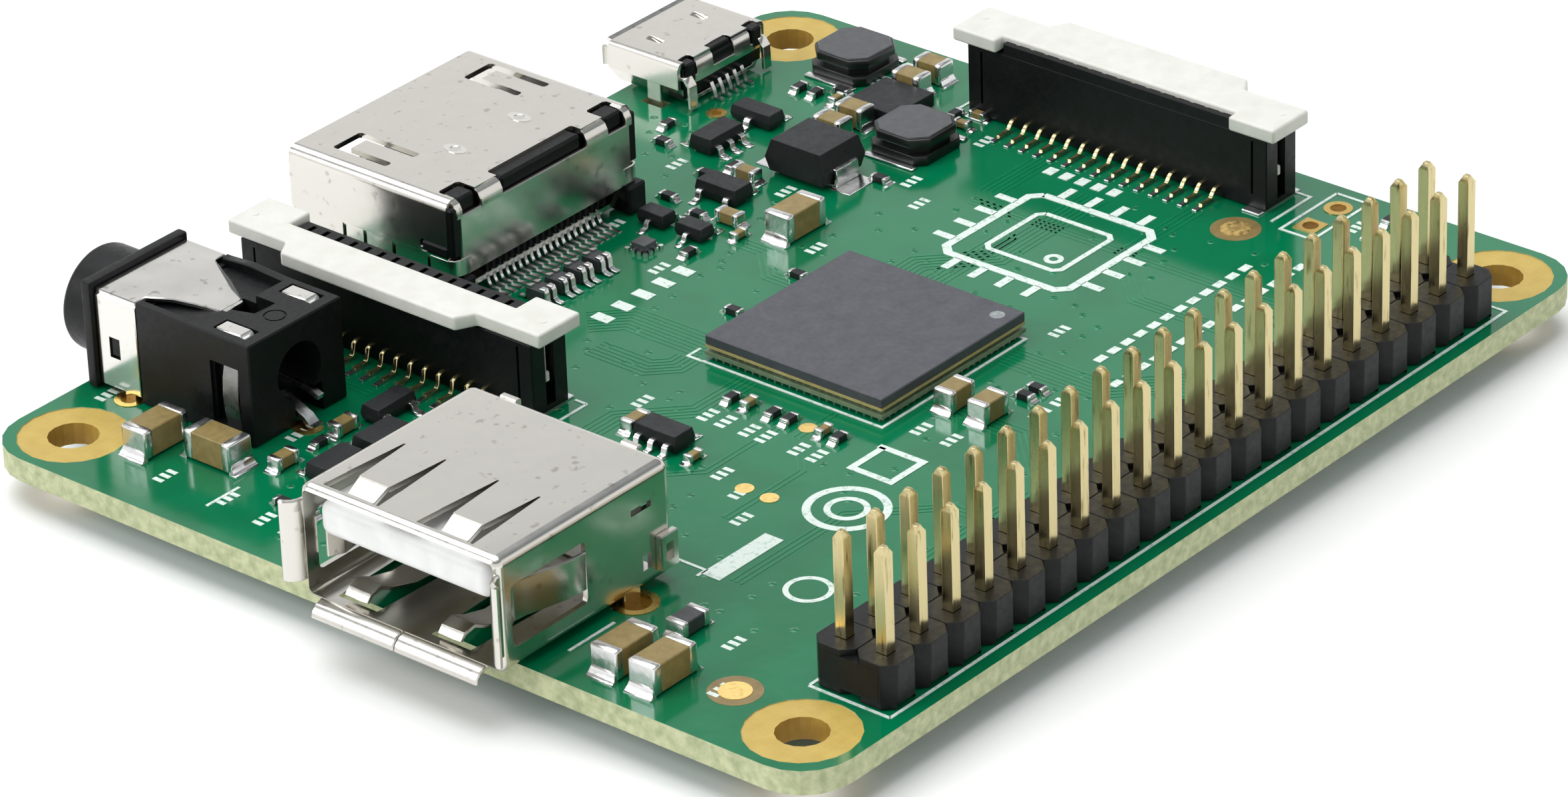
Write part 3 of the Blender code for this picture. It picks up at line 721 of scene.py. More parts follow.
    def turn(self, piece: bpy.types.Object, degrees: float, about: Place) -> bpy.types.Object:
        """Turn a piece's mesh level, about a point.

        Args:
            piece: The piece.
            degrees: The angle.
            about: The point that stays still.

        Returns:
            The piece.
        """
        spin = Matrix.Rotation(math.radians(degrees), 4, "Z")
        piece.data.transform(Matrix.Translation(about) @ spin @ Matrix.Translation(-Vector(about)))
        return piece

    def settle(
        self,
        name: str,
        pieces: bpy.types.Object | Sequence[bpy.types.Object],
        finish: Finish,
        slot: str,
        body: str = ROOT,
        replaces: Sequence[str] = (),
        shift: Place = (0.0, 0.0, 0.0),
        smooth: float = 35.0,
    ) -> bpy.types.Object:
        """Finish a piece: join it, turn it to metres, give it its material and put it on its body.

        Args:
            name: The piece's name.
            pieces: What it is joined from.
            finish: Its finish.
            slot: A material slot's name; not used.
            body: The body that it rides on.
            replaces: The CAD nodes that it stands for.
            shift: A last move in the drawing frame.
            smooth: The angle in degrees under which its facets are shaded as one.

        Returns:
            The finished piece.
        """
        piece = self.join([pieces] if isinstance(pieces, bpy.types.Object) else pieces)
        piece.name = name
        piece.data.name = name
        piece.data.transform(Matrix.Translation(self.datum) @ Matrix.Scale(MM, 4) @ Matrix.Translation(shift))
        piece.data.materials.clear()
        piece.data.materials.append(finish.material())
        self.take([piece])
        bpy.ops.object.shade_smooth_by_angle(angle=math.radians(smooth))
        weighted = piece.modifiers.new("weighted", "WEIGHTED_NORMAL")
        weighted.keep_sharp = True
        weighted.weight = FACE_WEIGHT
        bpy.ops.object.modifier_apply(modifier=weighted.name)
        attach(piece, body)
        if replaces:
            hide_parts(*replaces)
        log.info("%s: %d faces", name, len(piece.data.polygons))
        return piece


@dataclass
class Board:
    """The bare board: its faces, plated holes, pads, masked traces and printed legend."""

    bench: Bench
    length: float = 65.0
    width: float = 56.0
    hole_inset: float = 3.5
    ring_radius: float = 2.97
    trace_height: float = 0.018
    ink_height: float = 0.02

    def holes(self) -> list[Point]:
        """Return the centres of the four mounting holes."""
        ends_u = (self.hole_inset, self.length - self.hole_inset)
        ends_v = (self.hole_inset, self.width - self.hole_inset)
        return [(u, v) for u in ends_u for v in ends_v]

    def dress_faces(self, node: bpy.types.Object) -> None:
        """Give the board's own faces mask, edge, ring and hole materials by where they lie.

        Args:
            node: The board's CAD node.
        """
        mesh = node.data
        mesh.materials.clear()
        for finish in (MASK, EDGE, RING, RING_WALL):
            mesh.materials.append(finish.material())
        inverse = (Matrix.Translation(self.bench.datum) @ Matrix.Scale(MM, 4)).inverted()
        for face in mesh.polygons:
            middle = inverse @ face.center
            near = min(math.dist((middle.x, middle.y), hole) for hole in self.holes())
            if abs(face.normal.z) < 0.5:
                face.material_index = 3 if near < self.ring_radius * 0.7 else 1
            elif near < self.ring_radius:
                face.material_index = 2
            else:
                face.material_index = 0

    def trace(self, path: Sequence[Point], wide: float = 0.16) -> bpy.types.Object:
        """Model one masked trace.

        Args:
            path: Its middle, as corners in the board's plane.
            wide: Its width.

        Returns:
            The trace.
        """
        return self.bench.strip(path, wide, Axis.H, SUNK, self.trace_height)

    def bundle(
        self, path: Sequence[Point], count: int, pitch: float = 0.32, wide: float = 0.15
    ) -> list[bpy.types.Object]:
        """Model traces that run side by side.

        Args:
            path: The first trace's middle.
            count: The number of traces.
            pitch: The distance between neighbours.
            wide: The width of each.

        Returns:
            The traces.
        """
        steps = mitres(path)
        return [
            self.trace(
                [tuple(Vector(point) + step * pitch * number) for point, step in zip(path, steps)], wide
            )
            for number in range(count)
        ]

    def lay_traces(self) -> None:
        """Lay the traces and the vias that show through the mask."""
        made = []
        for path, count in (
            ([(23.6, 27.5), (21.0, 27.5), (18.0, 30.5), (9.0, 30.5)], 6),
            ([(36.2, 33.6), (39.5, 33.6), (42.0, 36.1), (48.0, 36.1)], 2),
            ([(36.2, 27.2), (40.0, 27.2), (43.0, 24.2), (54.0, 24.2)], 5),
            ([(27.0, 37.0), (27.0, 43.5), (24.0, 46.5), (24.0, 49.6)], 7),
            ([(33.0, 37.0), (33.0, 42.5), (37.0, 46.5), (46.0, 46.5), (48.0, 48.5)], 5),
            ([(26.0, 24.0), (26.0, 21.5), (24.0, 19.5), (24.0, 17.0)], 4),
            ([(33.5, 24.0), (33.5, 18.0), (35.5, 16.0)], 8),
            ([(52.8, 30.0), (47.5, 30.0), (45.0, 32.5), (37.6, 32.5)], 2),
            ([(7.0, 24.0), (12.0, 24.0), (16.0, 28.0), (23.6, 28.0)], 5),
            ([(7.0, 34.5), (13.5, 34.5), (17.5, 38.5), (17.5, 49.6)], 4),
            ([(48.4, 9.0), (49.2, 9.8), (49.2, 13.0)], 2),
            ([(40.0, 49.6), (40.0, 44.5), (44.0, 40.5), (52.6, 40.5)], 3),
            ([(13.5, 24.5), (13.5, 46.5), (11.0, 49.0)], 3),
            ([(39.0, 19.0), (39.0, 23.0), (37.5, 24.5), (36.2, 24.5)], 6),
        ):
            made += self.bundle(path, count)
        self.bench.settle("masked_traces", made, TRACE_MASK, "board")

        shuffled = random.Random(7)
        ring = self.bench.rod((0.0, 0.0), 0.26, Axis.H, SUNK, 0.012, 14, 0.22)
        plug = self.bench.rod((0.0, 0.0), 0.09, Axis.H, 0.0, 0.016, 10)
        spots: list[Place] = []
        for low_u, low_v, high_u, high_v, count in (
            (17.0, 19.5, 23.0, 40.0, 34),
            (36.8, 17.0, 43.0, 27.0, 22),
            (24.0, 37.5, 38.0, 48.5, 34),
            (38.5, 36.5, 56.0, 48.8, 30),
            (8.5, 24.0, 17.0, 48.8, 44),
            (15.0, 3.0, 23.5, 17.0, 20),
            (44.0, 20.0, 53.5, 36.0, 18),
            (24.5, 15.0, 39.0, 22.0, 22),
            (58.0, 12.0, 63.5, 24.0, 10),
        ):
            for _ in range(count):
                spot = (shuffled.uniform(low_u, high_u), shuffled.uniform(low_v, high_v), 0.0)
                if all(math.dist(spot, other) > 0.75 for other in spots):
                    spots.append(spot)
        self.bench.settle("masked_vias", self.bench.copies(ring, spots), TRACE_MASK, "board")
        self.bench.settle("masked_via_holes", self.bench.copies(plug, spots), GAP_MASK, "board")

    def plate_holes(self) -> None:
        """Ring the plated holes, fill each with a dark gold disc that paints the shade inside it, and lay the
        gold pads, test points and sighting marks.
        """
        made, hole_shade_discs = [], []
        for u, v, inner, outer in (
            (57.1, 38.15, 0.85, 1.25),
            (57.1, 24.75, 0.85, 1.25),
            (2.2, 41.1, 0.45, 0.8),
            (57.0, 3.2, 0.5, 0.85),
            (50.0, 3.2, 0.5, 0.85),
            (53.6, 12.75, 0.5, 0.85),
            (13.3, 6.3, 0.3, 0.6),
        ):
            ring = self.bench.rod((u, v), outer, Axis.H, -0.02, 0.045, 28)
            made.append(self.bench.carve(ring, [self.bench.rod((u, v), inner, Axis.H, -PAST, PAST, 28)]))
            # Each hole gets a dark gold disc: painted shade for the inside of the bore.
            hole_shade_discs.append(self.bench.rod((u, v), inner + 0.02, Axis.H, -0.03, 0.01, 28))
        square = self.bench.block((4.05, 40.4, -0.02), (5.45, 41.8, 0.045))
        made.append(self.bench.carve(square, [self.bench.rod((4.75, 41.1), 0.45, Axis.H, -PAST, PAST, 20)]))
        # The square pad's hole gets the same disc of painted shade.
        hole_shade_discs.append(self.bench.rod((4.75, 41.1), 0.47, Axis.H, -0.03, 0.01, 20))
        self.bench.settle("painted_shade_hole_discs", hole_shade_discs, HOLE_SHADE_GOLD, "gold_contact")
        self.bench.settle("plated_holes", made, HOLE_GOLD, "gold_contact")

        spot = self.bench.rod((0.0, 0.0), 0.5, Axis.H, SUNK, 0.03, 28)
        pads = [self.bench.copies(spot, [(45.1, 35.1, 0.0), (45.1, 36.75, 0.0), (38.3, 33.65, 0.0)])]
        mark = self.bench.rod((0.0, 0.0), 0.85, Axis.H, SUNK, 0.035, 32)
        pads.append(self.bench.copies(mark, [(60.6, 47.55, 0.0), (7.4, 38.05, 0.0)]))
        self.bench.settle("gold_pads", pads, PAD_GOLD, "gold_contact")
        moat = self.bench.rod((0.0, 0.0), 1.4, Axis.H, SUNK, 0.012, 40)
        self.bench.settle(
            "sighting_moats", self.bench.copies(moat, [(60.6, 47.55, 0.0), (7.4, 38.05, 0.0)]), MOAT, "board"
        )

    def line(self, path: Sequence[Point], wide: float = 0.18) -> bpy.types.Object:
        """Print a line of legend ink.

        Args:
            path: Its middle.
            wide: Its width.

        Returns:
            The line.
        """
        return self.bench.strip(path, wide, Axis.H, 0.0, self.trace_height + self.ink_height)

    def print_legend(self) -> None:
        """Print the outlines round the parts and the plain marks."""
        made = [
            self.line(path)
            for path in (
                [(35.0, 23.6), (36.04, 23.6), (36.04, 24.6)],
                [(36.0, 24.6), (36.0, 36.7), (24.05, 36.7), (24.05, 35.6)],
                [(58.0, 50.1), (6.6, 50.1), (6.6, 55.15), (58.1, 55.15)],
                [(58.1, 55.15), (58.1, 50.1)],
                [(5.6, 39.1), (2.0, 39.1), (2.0, 16.9), (5.6, 16.9)],
                [(43.2, 22.8), (47.6, 22.8), (47.6, 21.9)],
                [(43.2, 22.0), (43.2, 22.8)],
                [(0.8, 40.0), (6.0, 40.0), (6.0, 42.15), (0.8, 42.15), (0.8, 40.0)],
                [(62.6, 38.6), (59.2, 38.6)],
                [(53.3, 38.9), (52.6, 38.9), (52.6, 24.2), (53.4, 24.2)],
                [(60.4, 14.3), (62.8, 14.3)],
                [(1.6, 19.9), (1.6, 17.4)],
                [(14.0, 19.7), (14.9, 19.7)],
                [(24.3, 12.2), (24.3, 11.4), (25.0, 11.4)],
            )
        ]
        made.append(self.line([(48.0, 39.5), (53.0, 39.5)], 1.2))
        for step in (-2.2, -1.1, 0.0, 1.1, 2.2):
            along = 32.2 + step * 1.5
            made.append(self.line([(along - 0.36, 17.2), (along + 0.36, 17.2)], 1.2))
            made.append(self.line([(7.9, 28.0 - 0.32 + step), (7.9, 28.0 + 0.32 + step)], 0.8))
        for v, first, count in ((41.2, 10.4, 12), (43.5, 8.6, 15)):
            made += [
                self.line([(first + 1.15 * n, v), (first + 1.15 * n + 0.75, v)], 0.5) for n in range(count)
            ]
        self.bench.settle("printed_outlines", made, INK, "board")
        self.print_marks()

    def ring(self, middle: Point, radius: float, wide: float) -> bpy.types.Object:
        """Print a ring.

        Args:
            middle: Its centre.
            radius: The radius of its outer edge.
            wide: The width of the line.

        Returns:
            The ring.
        """
        disc = self.bench.rod(middle, radius, Axis.H, SUNK, self.ink_height, 48)
        return self.bench.carve(disc, [self.bench.rod(middle, radius - wide, Axis.H, -PAST, PAST, 48)])

    def print_marks(self) -> None:
        """Print a plain drawing of a chip, plain rings, and rows of blocks where small parts are numbered."""
        u0, v0 = 14.6, 30.9
        corners = [
            (-4.2, -3.6), (-3.6, -4.2), (3.6, -4.2), (4.2, -3.6), (4.2, 3.6), (3.6, 4.2), (-3.6, 4.2),
            (-4.2, 3.6),
        ]
        corners.append(corners[0])
        made = [
            self.line([(u0 + u, v0 + v) for u, v in corners], 0.5),
            self.line([(u0 + u * 0.6, v0 + v * 0.6) for u, v in corners], 0.32),
            self.ring((u0 + 1.4, v0 + 1.4), 0.55, 0.3),
        ]
        for step in (-2.7, -0.9, 0.9, 2.7):
            for side in (-1, 1):
                near, far = side * 4.4, side * 5.7
                made.append(self.line([(u0 + step, v0 + near), (u0 + step, v0 + far)], 0.5))
                made.append(self.line([(u0 + near, v0 + step), (u0 + far, v0 + step)], 0.5))
        made += [self.ring((43.6, 40.6), 2.3, 0.45), self.ring((43.6, 40.6), 1.2, 0.35)]
        square = [(-1.3, -1.3), (1.3, -1.3), (1.3, 1.3), (-1.3, 1.3), (-1.3, -1.6)]
        made += [self.line([(38.9 + u, 39.4 + v) for u, v in square], 0.4), self.ring((51.0, 44.2), 1.3, 0.3)]
        block = self.bench.block((-0.14, -0.33, SUNK), (0.14, 0.33, self.ink_height))
        steps: list[Place] = []
        for u, v in (
            (61.8, 10.4), (61.6, 14.6), (61.0, 46.9), (57.2, 44.6), (45.6, 35.2), (47.6, 37.0), (40.3, 28.6),
            (40.3, 29.8), (40.3, 31.4), (40.3, 32.5), (40.3, 34.7), (40.3, 35.9), (34.9, 38.4), (34.9, 40.4),
            (41.2, 24.9), (44.6, 33.2), (57.4, 1.9), (22.3, 37.6), (28.2, 42.3), (30.0, 42.3), (3.4, 43.2),
            (62.0, 17.6), (62.0, 19.4), (56.4, 20.4), (54.6, 12.9), (38.9, 13.2), (38.9, 15.6), (29.4, 15.9),
            (27.0, 10.6), (22.6, 21.2), (18.4, 15.6), (15.2, 22.4), (19.4, 8.6), (12.7, 11.4), (7.2, 20.6),
            (13.4, 20.4), (2.6, 11.2), (4.7, 11.2), (9.7, 11.2), (23.8, 45.8),
        ):
            steps += [(u + shift, v, 0.0) for shift in (-0.5, 0.0, 0.5)]
        made.append(self.bench.copies(block, steps))
        self.bench.settle("printed_marks", made, INK, "board")


@dataclass
class PinHeader:
    """The forty posts in their notched insulator."""

    bench: Bench
    centre: Point = (32.5, 52.5)
    pitch: float = 2.54
    columns: int = 20
    post_width: float = 0.64
    post_top: float = 8.4
    tail: float = -2.85
    coined: float = 0.38

    def column_middles(self) -> list[float]:
        """Return the u of each column's middle."""
        first = self.centre[0] - (self.columns - 1) / 2 * self.pitch
        return [first + column * self.pitch for column in range(self.columns)]

    def build_insulator(self) -> None:
        """Model one column: two eight-sided cells with a relieved foot, and the web that joins them."""
        cell = self.bench.profile(octagon(self.pitch / 2 - 0.01, 0.62), Axis.H, 0.06, 2.54, 0.06, 2)
        collar = self.bench.rod((0.0, 0.0), 0.5, Axis.H, 2.48, 3.0, 4, 0.56)
        relief = self.bench.block((-0.7, -0.6, -0.2), (0.7, 2.0, 0.35))
        self.bench.carve(cell, [self.bench.turn(collar, 45.0, (0.0, 0.0, 0.0)), relief])
        aside = Matrix.Translation((0.0, self.pitch / 2, 0.0))
        other = self.bench.twin(cell, HALF_TURN @ aside)
        cell.data.transform(aside)
        web = self.bench.block((-self.pitch / 2, -1.75, 0.4), (self.pitch / 2, 1.75, 2.2))
        cell = self.bench.join([cell, other, web])
        insulator = self.bench.copies(cell, [(u, self.centre[1], 0.0) for u in self.column_middles()])
        self.bench.settle("header_insulator", insulator, HEADER_BLACK, "header", replaces=["pin_header"])

    def narrow(self, piece: bpy.types.Object, ends: Callable[[float], bool], share: float) -> None:
        """Draw a piece's ends in towards its middle line.

        Args:
            piece: The piece, which stands on the drawing frame's origin.
            ends: Says of a height whether it belongs to an end.
            share: What is left of the width there.
        """
        for vertex in piece.data.vertices:
            if ends(vertex.co.z):
                vertex.co.x *= share
                vertex.co.y *= share

    def build_posts(self) -> None:
        """Model one post, coined to a blunt point at both ends, and copy it to its rows."""
        half = self.post_width / 2
        post = self.bench.block((-half, -half, self.tail), (half, half, self.post_top), 0.05, 2)
        low, high = self.tail + 0.12, self.post_top - 0.12
        self.narrow(post, lambda height: not low < height < high, 0.5)
        self.bench.take([post])
        bpy.ops.object.mode_set(mode="EDIT")
        shoulders = (self.post_top - self.coined, self.tail + self.coined)
        for height in shoulders:
            bpy.ops.mesh.select_all(action="SELECT")
            bpy.ops.mesh.bisect(plane_co=(0, 0, height), plane_no=(0, 0, 1))
        bpy.ops.object.mode_set(mode="OBJECT")
        for vertex in post.data.vertices:
            if min(abs(vertex.co.z - height) for height in shoulders) < 1e-3:
                reach = max(abs(vertex.co.x), abs(vertex.co.y))
                vertex.co.x *= half / reach
                vertex.co.y *= half / reach
        rows = (self.centre[1] - self.pitch / 2, self.centre[1] + self.pitch / 2)
        places = [(u, v, 0.0) for u in self.column_middles() for v in rows]
        self.bench.settle("header_posts", self.bench.copies(post, places), GOLD, "gold_contact")

        pad = self.bench.rod((0.0, 0.0), 0.82, Axis.H, -1.38, -1.33, 20)
        cone = self.bench.rod((0.0, 0.0), 0.62, Axis.H, -2.1, -1.36, 16)
        self.narrow(cone, lambda height: height < -1.8, 0.58)
        joint = self.bench.join([pad, cone])
        self.bench.settle("header_solder", self.bench.copies(joint, places), SOLDER, "contact_metal")


@dataclass
class ProcessorStack:
    """The processor's substrate and mould with the memory package on top."""

    bench: Bench
    centre: Point = (29.7, 30.47)
    half: float = 6.0

    def square(self, half: float, low: float, high: float, bevel: float) -> bpy.types.Object:
        """Model a square plate round the stack's centre.

        Args:
            half: Half its side.
            low: Its lower face's height.
            high: Its upper face's height.
            bevel: The width of its bevelled edges.

        Returns:
            The plate.
        """
        u, v = self.centre
        return self.bench.block((u - half, v - half, low), (u + half, v + half, high), bevel)

    def build(self) -> None:
        """Model the plates, the solder balls and the dot that marks the first ball."""
        half = self.half
        lower = self.square(half, 0.24, 0.47, 0.01)
        self.bench.settle("processor_substrate", lower, UNDER_SUBSTRATE, "chip_resin", replaces=["processor"])
        self.bench.settle("processor_mould", self.square(half - 1.1, 0.46, 0.66, 0.04), RESIN, "chip_resin")
        upper = self.square(half - 0.03, 0.69, 0.86, 0.01)
        self.bench.settle("memory_substrate", upper, SUBSTRATE, "chip_resin")
        mould = self.square(half - 0.03, 0.86, 1.42, 0.05)
        self.bench.settle("memory_mould", mould, SLATE, "chip_resin", replaces=["memory_package"])
        dot = self.bench.rod((self.centre[0] - 4.85, self.centre[1] + 5.0), 0.42, Axis.H, 1.4, 1.428, 24)
        self.bench.settle("memory_first_ball_mark", dot, MARK_GREY, "chip_resin")
        ball = self.bench.rod((0.0, 0.0), 0.13, Axis.H, 0.0, 0.27, 10)
        places = []
        for step in range(23):
            along = -5.5 + step * 0.5
            for reach in (-5.6, 5.6):
                places.append((self.centre[0] + along, self.centre[1] + reach, 0.0))
                places.append((self.centre[0] + reach, self.centre[1] + along, 0.0))
        lower_balls = self.bench.copies(ball, places)
        upper_balls = self.bench.twin(lower_balls, Matrix.Translation((0.0, 0.0, 0.45)))
        self.bench.settle("stack_solder_balls", [lower_balls, upper_balls], SOLDER, "contact_metal")


@dataclass
class Studio:
    """The pale floor, the soft lights and the camera."""

    floor_half: float = 3.0
    floor_height: float = -0.0002
    eye: Place = (250.217, 217.006, 181.574)
    azimuth: float = 40.769
    elevation: float = 28.681
    roll: float = -2.048
    lens: float = 164.83

    def lay_floor(self) -> None:
        """Lay the floor at the height of the tail tips."""
        bpy.ops.object.select_all(action="DESELECT")
        bpy.ops.mesh.primitive_plane_add(size=2 * self.floor_half, location=(0.0, 0.0, self.floor_height))
        floor = bpy.context.object
        floor.name = "floor"
        floor.data.materials.append(FLOOR.material())

    def light(self, name: str, place: Place, aim: Place, size: Point, power: float) -> None:
        """Hang one soft box.

        Args:
            name: Its name.
            place: Where it hangs, in metres.
            aim: Where it points.
            size: Its width and height.
            power: Its power in watts.
        """
        bpy.ops.object.light_add(type="AREA", location=place)
        lamp = bpy.context.object
        lamp.name = name
        lamp.data.shape = "RECTANGLE"
        lamp.data.size, lamp.data.size_y = size
        lamp.data.energy = power
        lamp.rotation_euler = (Vector(aim) - Vector(place)).to_track_quat("-Z", "Y").to_euler()

    def set_world(self) -> None:
        """Fill the studio with pale light that darkens above the low card behind the board."""
        world = bpy.data.worlds.new("studio_world")
        world.use_nodes = True
        tree = world.node_tree
        place = add_node(tree, "ShaderNodeTexCoord").outputs["Generated"]
        height = add_node(tree, "ShaderNodeSeparateXYZ", links={"Vector": place}).outputs["Z"]
        stops = [(0.5, "#FFFFFF"), (0.56, "#757B7F"), (0.75, "#8F9498"), (0.95, "#E6E8EA")]
        tree.links.new(add_ramp(tree, height, stops), tree.nodes["Background"].inputs["Color"])
        tree.nodes["Background"].inputs["Strength"].default_value = 0.98
        bpy.context.scene.world = world
        bpy.context.scene.view_settings.view_transform = "Standard"

    def set_camera(self) -> None:
        """Set the camera where the view was solved."""
        turn, lift = math.radians(self.azimuth), math.radians(self.elevation)
        forward = Vector(
            (-math.cos(lift) * math.cos(turn), -math.cos(lift) * math.sin(turn), -math.sin(lift))
        )
        level = forward.cross(Vector((0.0, 0.0, 1.0))).normalized()
        upright = level.cross(forward)
        tilt = math.radians(self.roll)
        right = math.cos(tilt) * level + math.sin(tilt) * upright
        up = -math.sin(tilt) * level + math.cos(tilt) * upright
        bpy.ops.object.camera_add()
        camera = bpy.context.object
        matrix = Matrix((right, up, -forward)).transposed().to_4x4()
        matrix.translation = Vector(self.eye) * MM
        camera.matrix_world = matrix
        camera.data.lens = self.lens
        camera.data.sensor_width = 36.0
        camera.data.clip_start = 0.01
        bpy.context.scene.camera = camera

    def build(self) -> None:
        """Lay the floor, hang the lights and set the camera."""
        self.lay_floor()
        self.set_world()
        self.light("overhead_box", (-0.05, -0.2, 0.8), (0.0, 0.0, 0.0), (0.8, 0.95), 6.2)
        self.light("side_box", (0.75, -0.45, 0.6), (0.0, 0.0, 0.01), (0.5, 0.5), 4.0)
        self.set_camera()


@dataclass
class UsbPort:
    """The wide serial port at the end of the board."""

    bench: Bench
    rear: float = 53.9
    mouth: float = 66.8
    middle: float = 31.45
    half: float = 6.575
    floor: float = 0.3
    top: float = 6.75
    sheet: float = 0.3

    def tapered(
        self, path: Sequence[Point], middle: float, root_half: float, tip_half: float
    ) -> bpy.types.Object:
        """Model a spring finger that narrows towards its tip.

        Args:
            path: Its middle, seen from the side, from root to tip.
            middle: The v of its centre line.
            root_half: Half its width at the root.
            tip_half: Half its width at the tip.

        Returns:
            The finger.
        """
        finger = self.bench.strip(path, 0.22, Axis.V, middle - 1.0, middle + 1.0)
        start, end = path[0][0], path[-1][0]
        for vertex in finger.data.vertices:
            share = (vertex.co.x - start) / (end - start)
            vertex.co.y = middle + (vertex.co.y - middle) * (root_half + (tip_half - root_half) * share)
        self.bench.bevel(finger, 0.03)
        return finger

    def window(
        self, middle: float, root_half: float, tip_half: float, low: float, high: float
    ) -> bpy.types.Object:
        """Make the tool for the window round a finger.

        Args:
            middle: The v of the finger's centre line.
            root_half: Half the window's width at the finger's root.
            tip_half: Half its width at the finger's tip.
            low: The tool's lower end.
            high: Its upper end.

        Returns:
            The tool.
        """
        outline = [
            (60.7, middle - root_half), (60.7, middle + root_half), (66.15, middle + tip_half),
            (66.15, middle - tip_half),
        ]
        return self.bench.profile(outline, Axis.H, low, high)

    def slots(self, middle: float) -> list[bpy.types.Object]:
        """Make the tools for the slots beside an upper finger and the opening before its tip.

        Args:
            middle: The v of the finger's centre line.

        Returns:
            The tools.
        """
        low, high = self.top - 1.0, self.top + 1.0
        beside = [
            self.bench.profile(
                [(60.7, middle + side * 1.42), (60.7, middle + side * 1.3), (64.5, middle + side * 0.98),
                 (64.5, middle + side * 1.75)][:: -side],
                Axis.H, low, high,
            )
            for side in (-1, 1)
        ]
        before = [
            (64.45, middle - 1.72), (64.45, middle + 1.72), (66.15, middle + 1.85), (66.15, middle - 1.85)
        ]
        return [*beside, self.bench.profile(before, Axis.H, low, high)]

    def build_shell(self) -> None:
        """Model the folded shell with its windows, then its fingers, lips, tabs and seam."""
        v0, half, sheet = self.middle, self.half, self.sheet
        tube = self.bench.block((self.rear, v0 - half, self.floor), (self.mouth, v0 + half, self.top))
        self.bevel_long(tube, 0.55)
        inner = self.bench.block(
            (self.rear + 0.3, v0 - half + sheet, self.floor + sheet),
            (self.mouth + PAST, v0 + half - sheet, self.top - sheet),
        )
        self.bevel_long(inner, 0.3)
        tools = [inner]
        for middle in (v0 - 3.55, v0 + 2.65):
            tools += self.slots(middle)
            tools.append(self.window(middle, 1.5, 1.3, self.floor - 1.0, self.floor + 0.5))
        tools.append(self.bench.block((60.4, v0 - half - PAST, 1.5), (65.9, v0 + half + PAST, 5.0), 0.3, 2))
        tools.append(self.bench.block((55.5, v0 + half - 0.5, 4.75), (57.0, v0 + half + PAST, 5.1)))
        tools.append(self.bench.block((55.6, v0 + half - 0.5, 1.35), (56.3, v0 + half + PAST, 2.2)))
        tools.append(self.bench.block((self.rear - PAST, v0 - 5.4, -1), (self.rear + 0.6, v0 + 5.4, 4.0)))
        self.bench.carve(tube, tools)
        self.bench.bevel(tube, 0.04, 1, 50)

        made = [tube]
        upper = [(64.0, 6.62), (64.45, 6.62), (64.6, 6.56), (65.25, 6.22), (65.45, 6.14), (65.8, 6.2)]
        lower = [(60.6, 0.45), (62.8, 0.5), (64.4, 0.95), (65.2, 1.35), (65.9, 1.2), (66.2, 0.85)]
        for middle in (v0 - 3.55, v0 + 2.65):
            made.append(self.tapered(upper, middle, 1.0, 0.85))
            made.append(self.tapered(lower, middle, 0.95, 0.75))
        for side in (-1, 1):
            wall = v0 + side * (half - sheet / 2)
            flank = [
                (60.3, wall), (61.6, wall - side * 0.1), (64.0, wall - side * 0.75),
                (64.8, wall - side * 0.85), (65.6, wall - side * 0.45),
            ]
            made.append(self.bench.strip(flank, 0.22, Axis.H, 2.2, 4.3, 0.04))
            cheek = [
                (66.5, wall), (66.85, wall + side * 0.02), (67.2, wall + side * 0.2),
                (67.45, wall + side * 0.5), (67.5, wall + side * 0.8),
            ]
            made.append(self.bench.strip(cheek, 0.28, Axis.H, 1.3, 5.9, 0.08))
            made.append(self.bench.block((56.5, wall - 0.13, -2.8), (57.7, wall + 0.13, 0.9), 0.05))
        sill = [(66.2, 0.45), (66.75, 0.42), (67.1, 0.3), (67.35, 0.05), (67.45, -0.25)]
        for low, high in ((v0 - 5.5, v0 - 0.03), (v0 + 0.03, v0 + 5.5)):
            made.append(self.bench.strip(sill, 0.28, Axis.V, low, high, 0.07))
        clasp = self.bench.block((54.0, v0 + half, 0.95), (55.3, v0 + half + 0.42, 2.95), 0.06)
        self.bench.carve(
            clasp, [self.bench.block((54.4, v0 + half + 0.1, 1.45), (54.95, v0 + half + PAST, 2.45))]
        )
        made.append(clasp)
        for low in (v0 - 4.6, v0 + 3.4):
            made.append(
                self.bench.block(
                    (self.rear - 0.22, low, 6.0), (self.rear + 0.2, low + 1.2, self.top - 0.03), 0.08
                )
            )
        self.bench.settle("usb_shell_folded", made, NICKEL, "nickel_sheet", replaces=["usb_shell"])

    def bevel_long(self, piece: bpy.types.Object, radius: float) -> None:
        """Round the four edges that run along u.

        Args:
            piece: The box, before anything is cut from it.
            radius: The edges' radius.
        """
        self.bench.take([piece])
        for face in piece.data.polygons:
            face.select = False
        for vertex in piece.data.vertices:
            vertex.select = False
        bpy.ops.object.mode_set(mode="EDIT")
        bpy.ops.mesh.select_mode(type="EDGE")
        bpy.ops.object.mode_set(mode="OBJECT")
        for edge in piece.data.edges:
            first, second = (piece.data.vertices[index].co for index in edge.vertices)
            edge.select = abs(first.x - second.x) > 1.0
        bpy.ops.object.mode_set(mode="EDIT")
        bpy.ops.mesh.bevel(offset=radius, segments=4, affect="EDGES")
        bpy.ops.mesh.select_mode(type="VERT")
        bpy.ops.object.mode_set(mode="OBJECT")

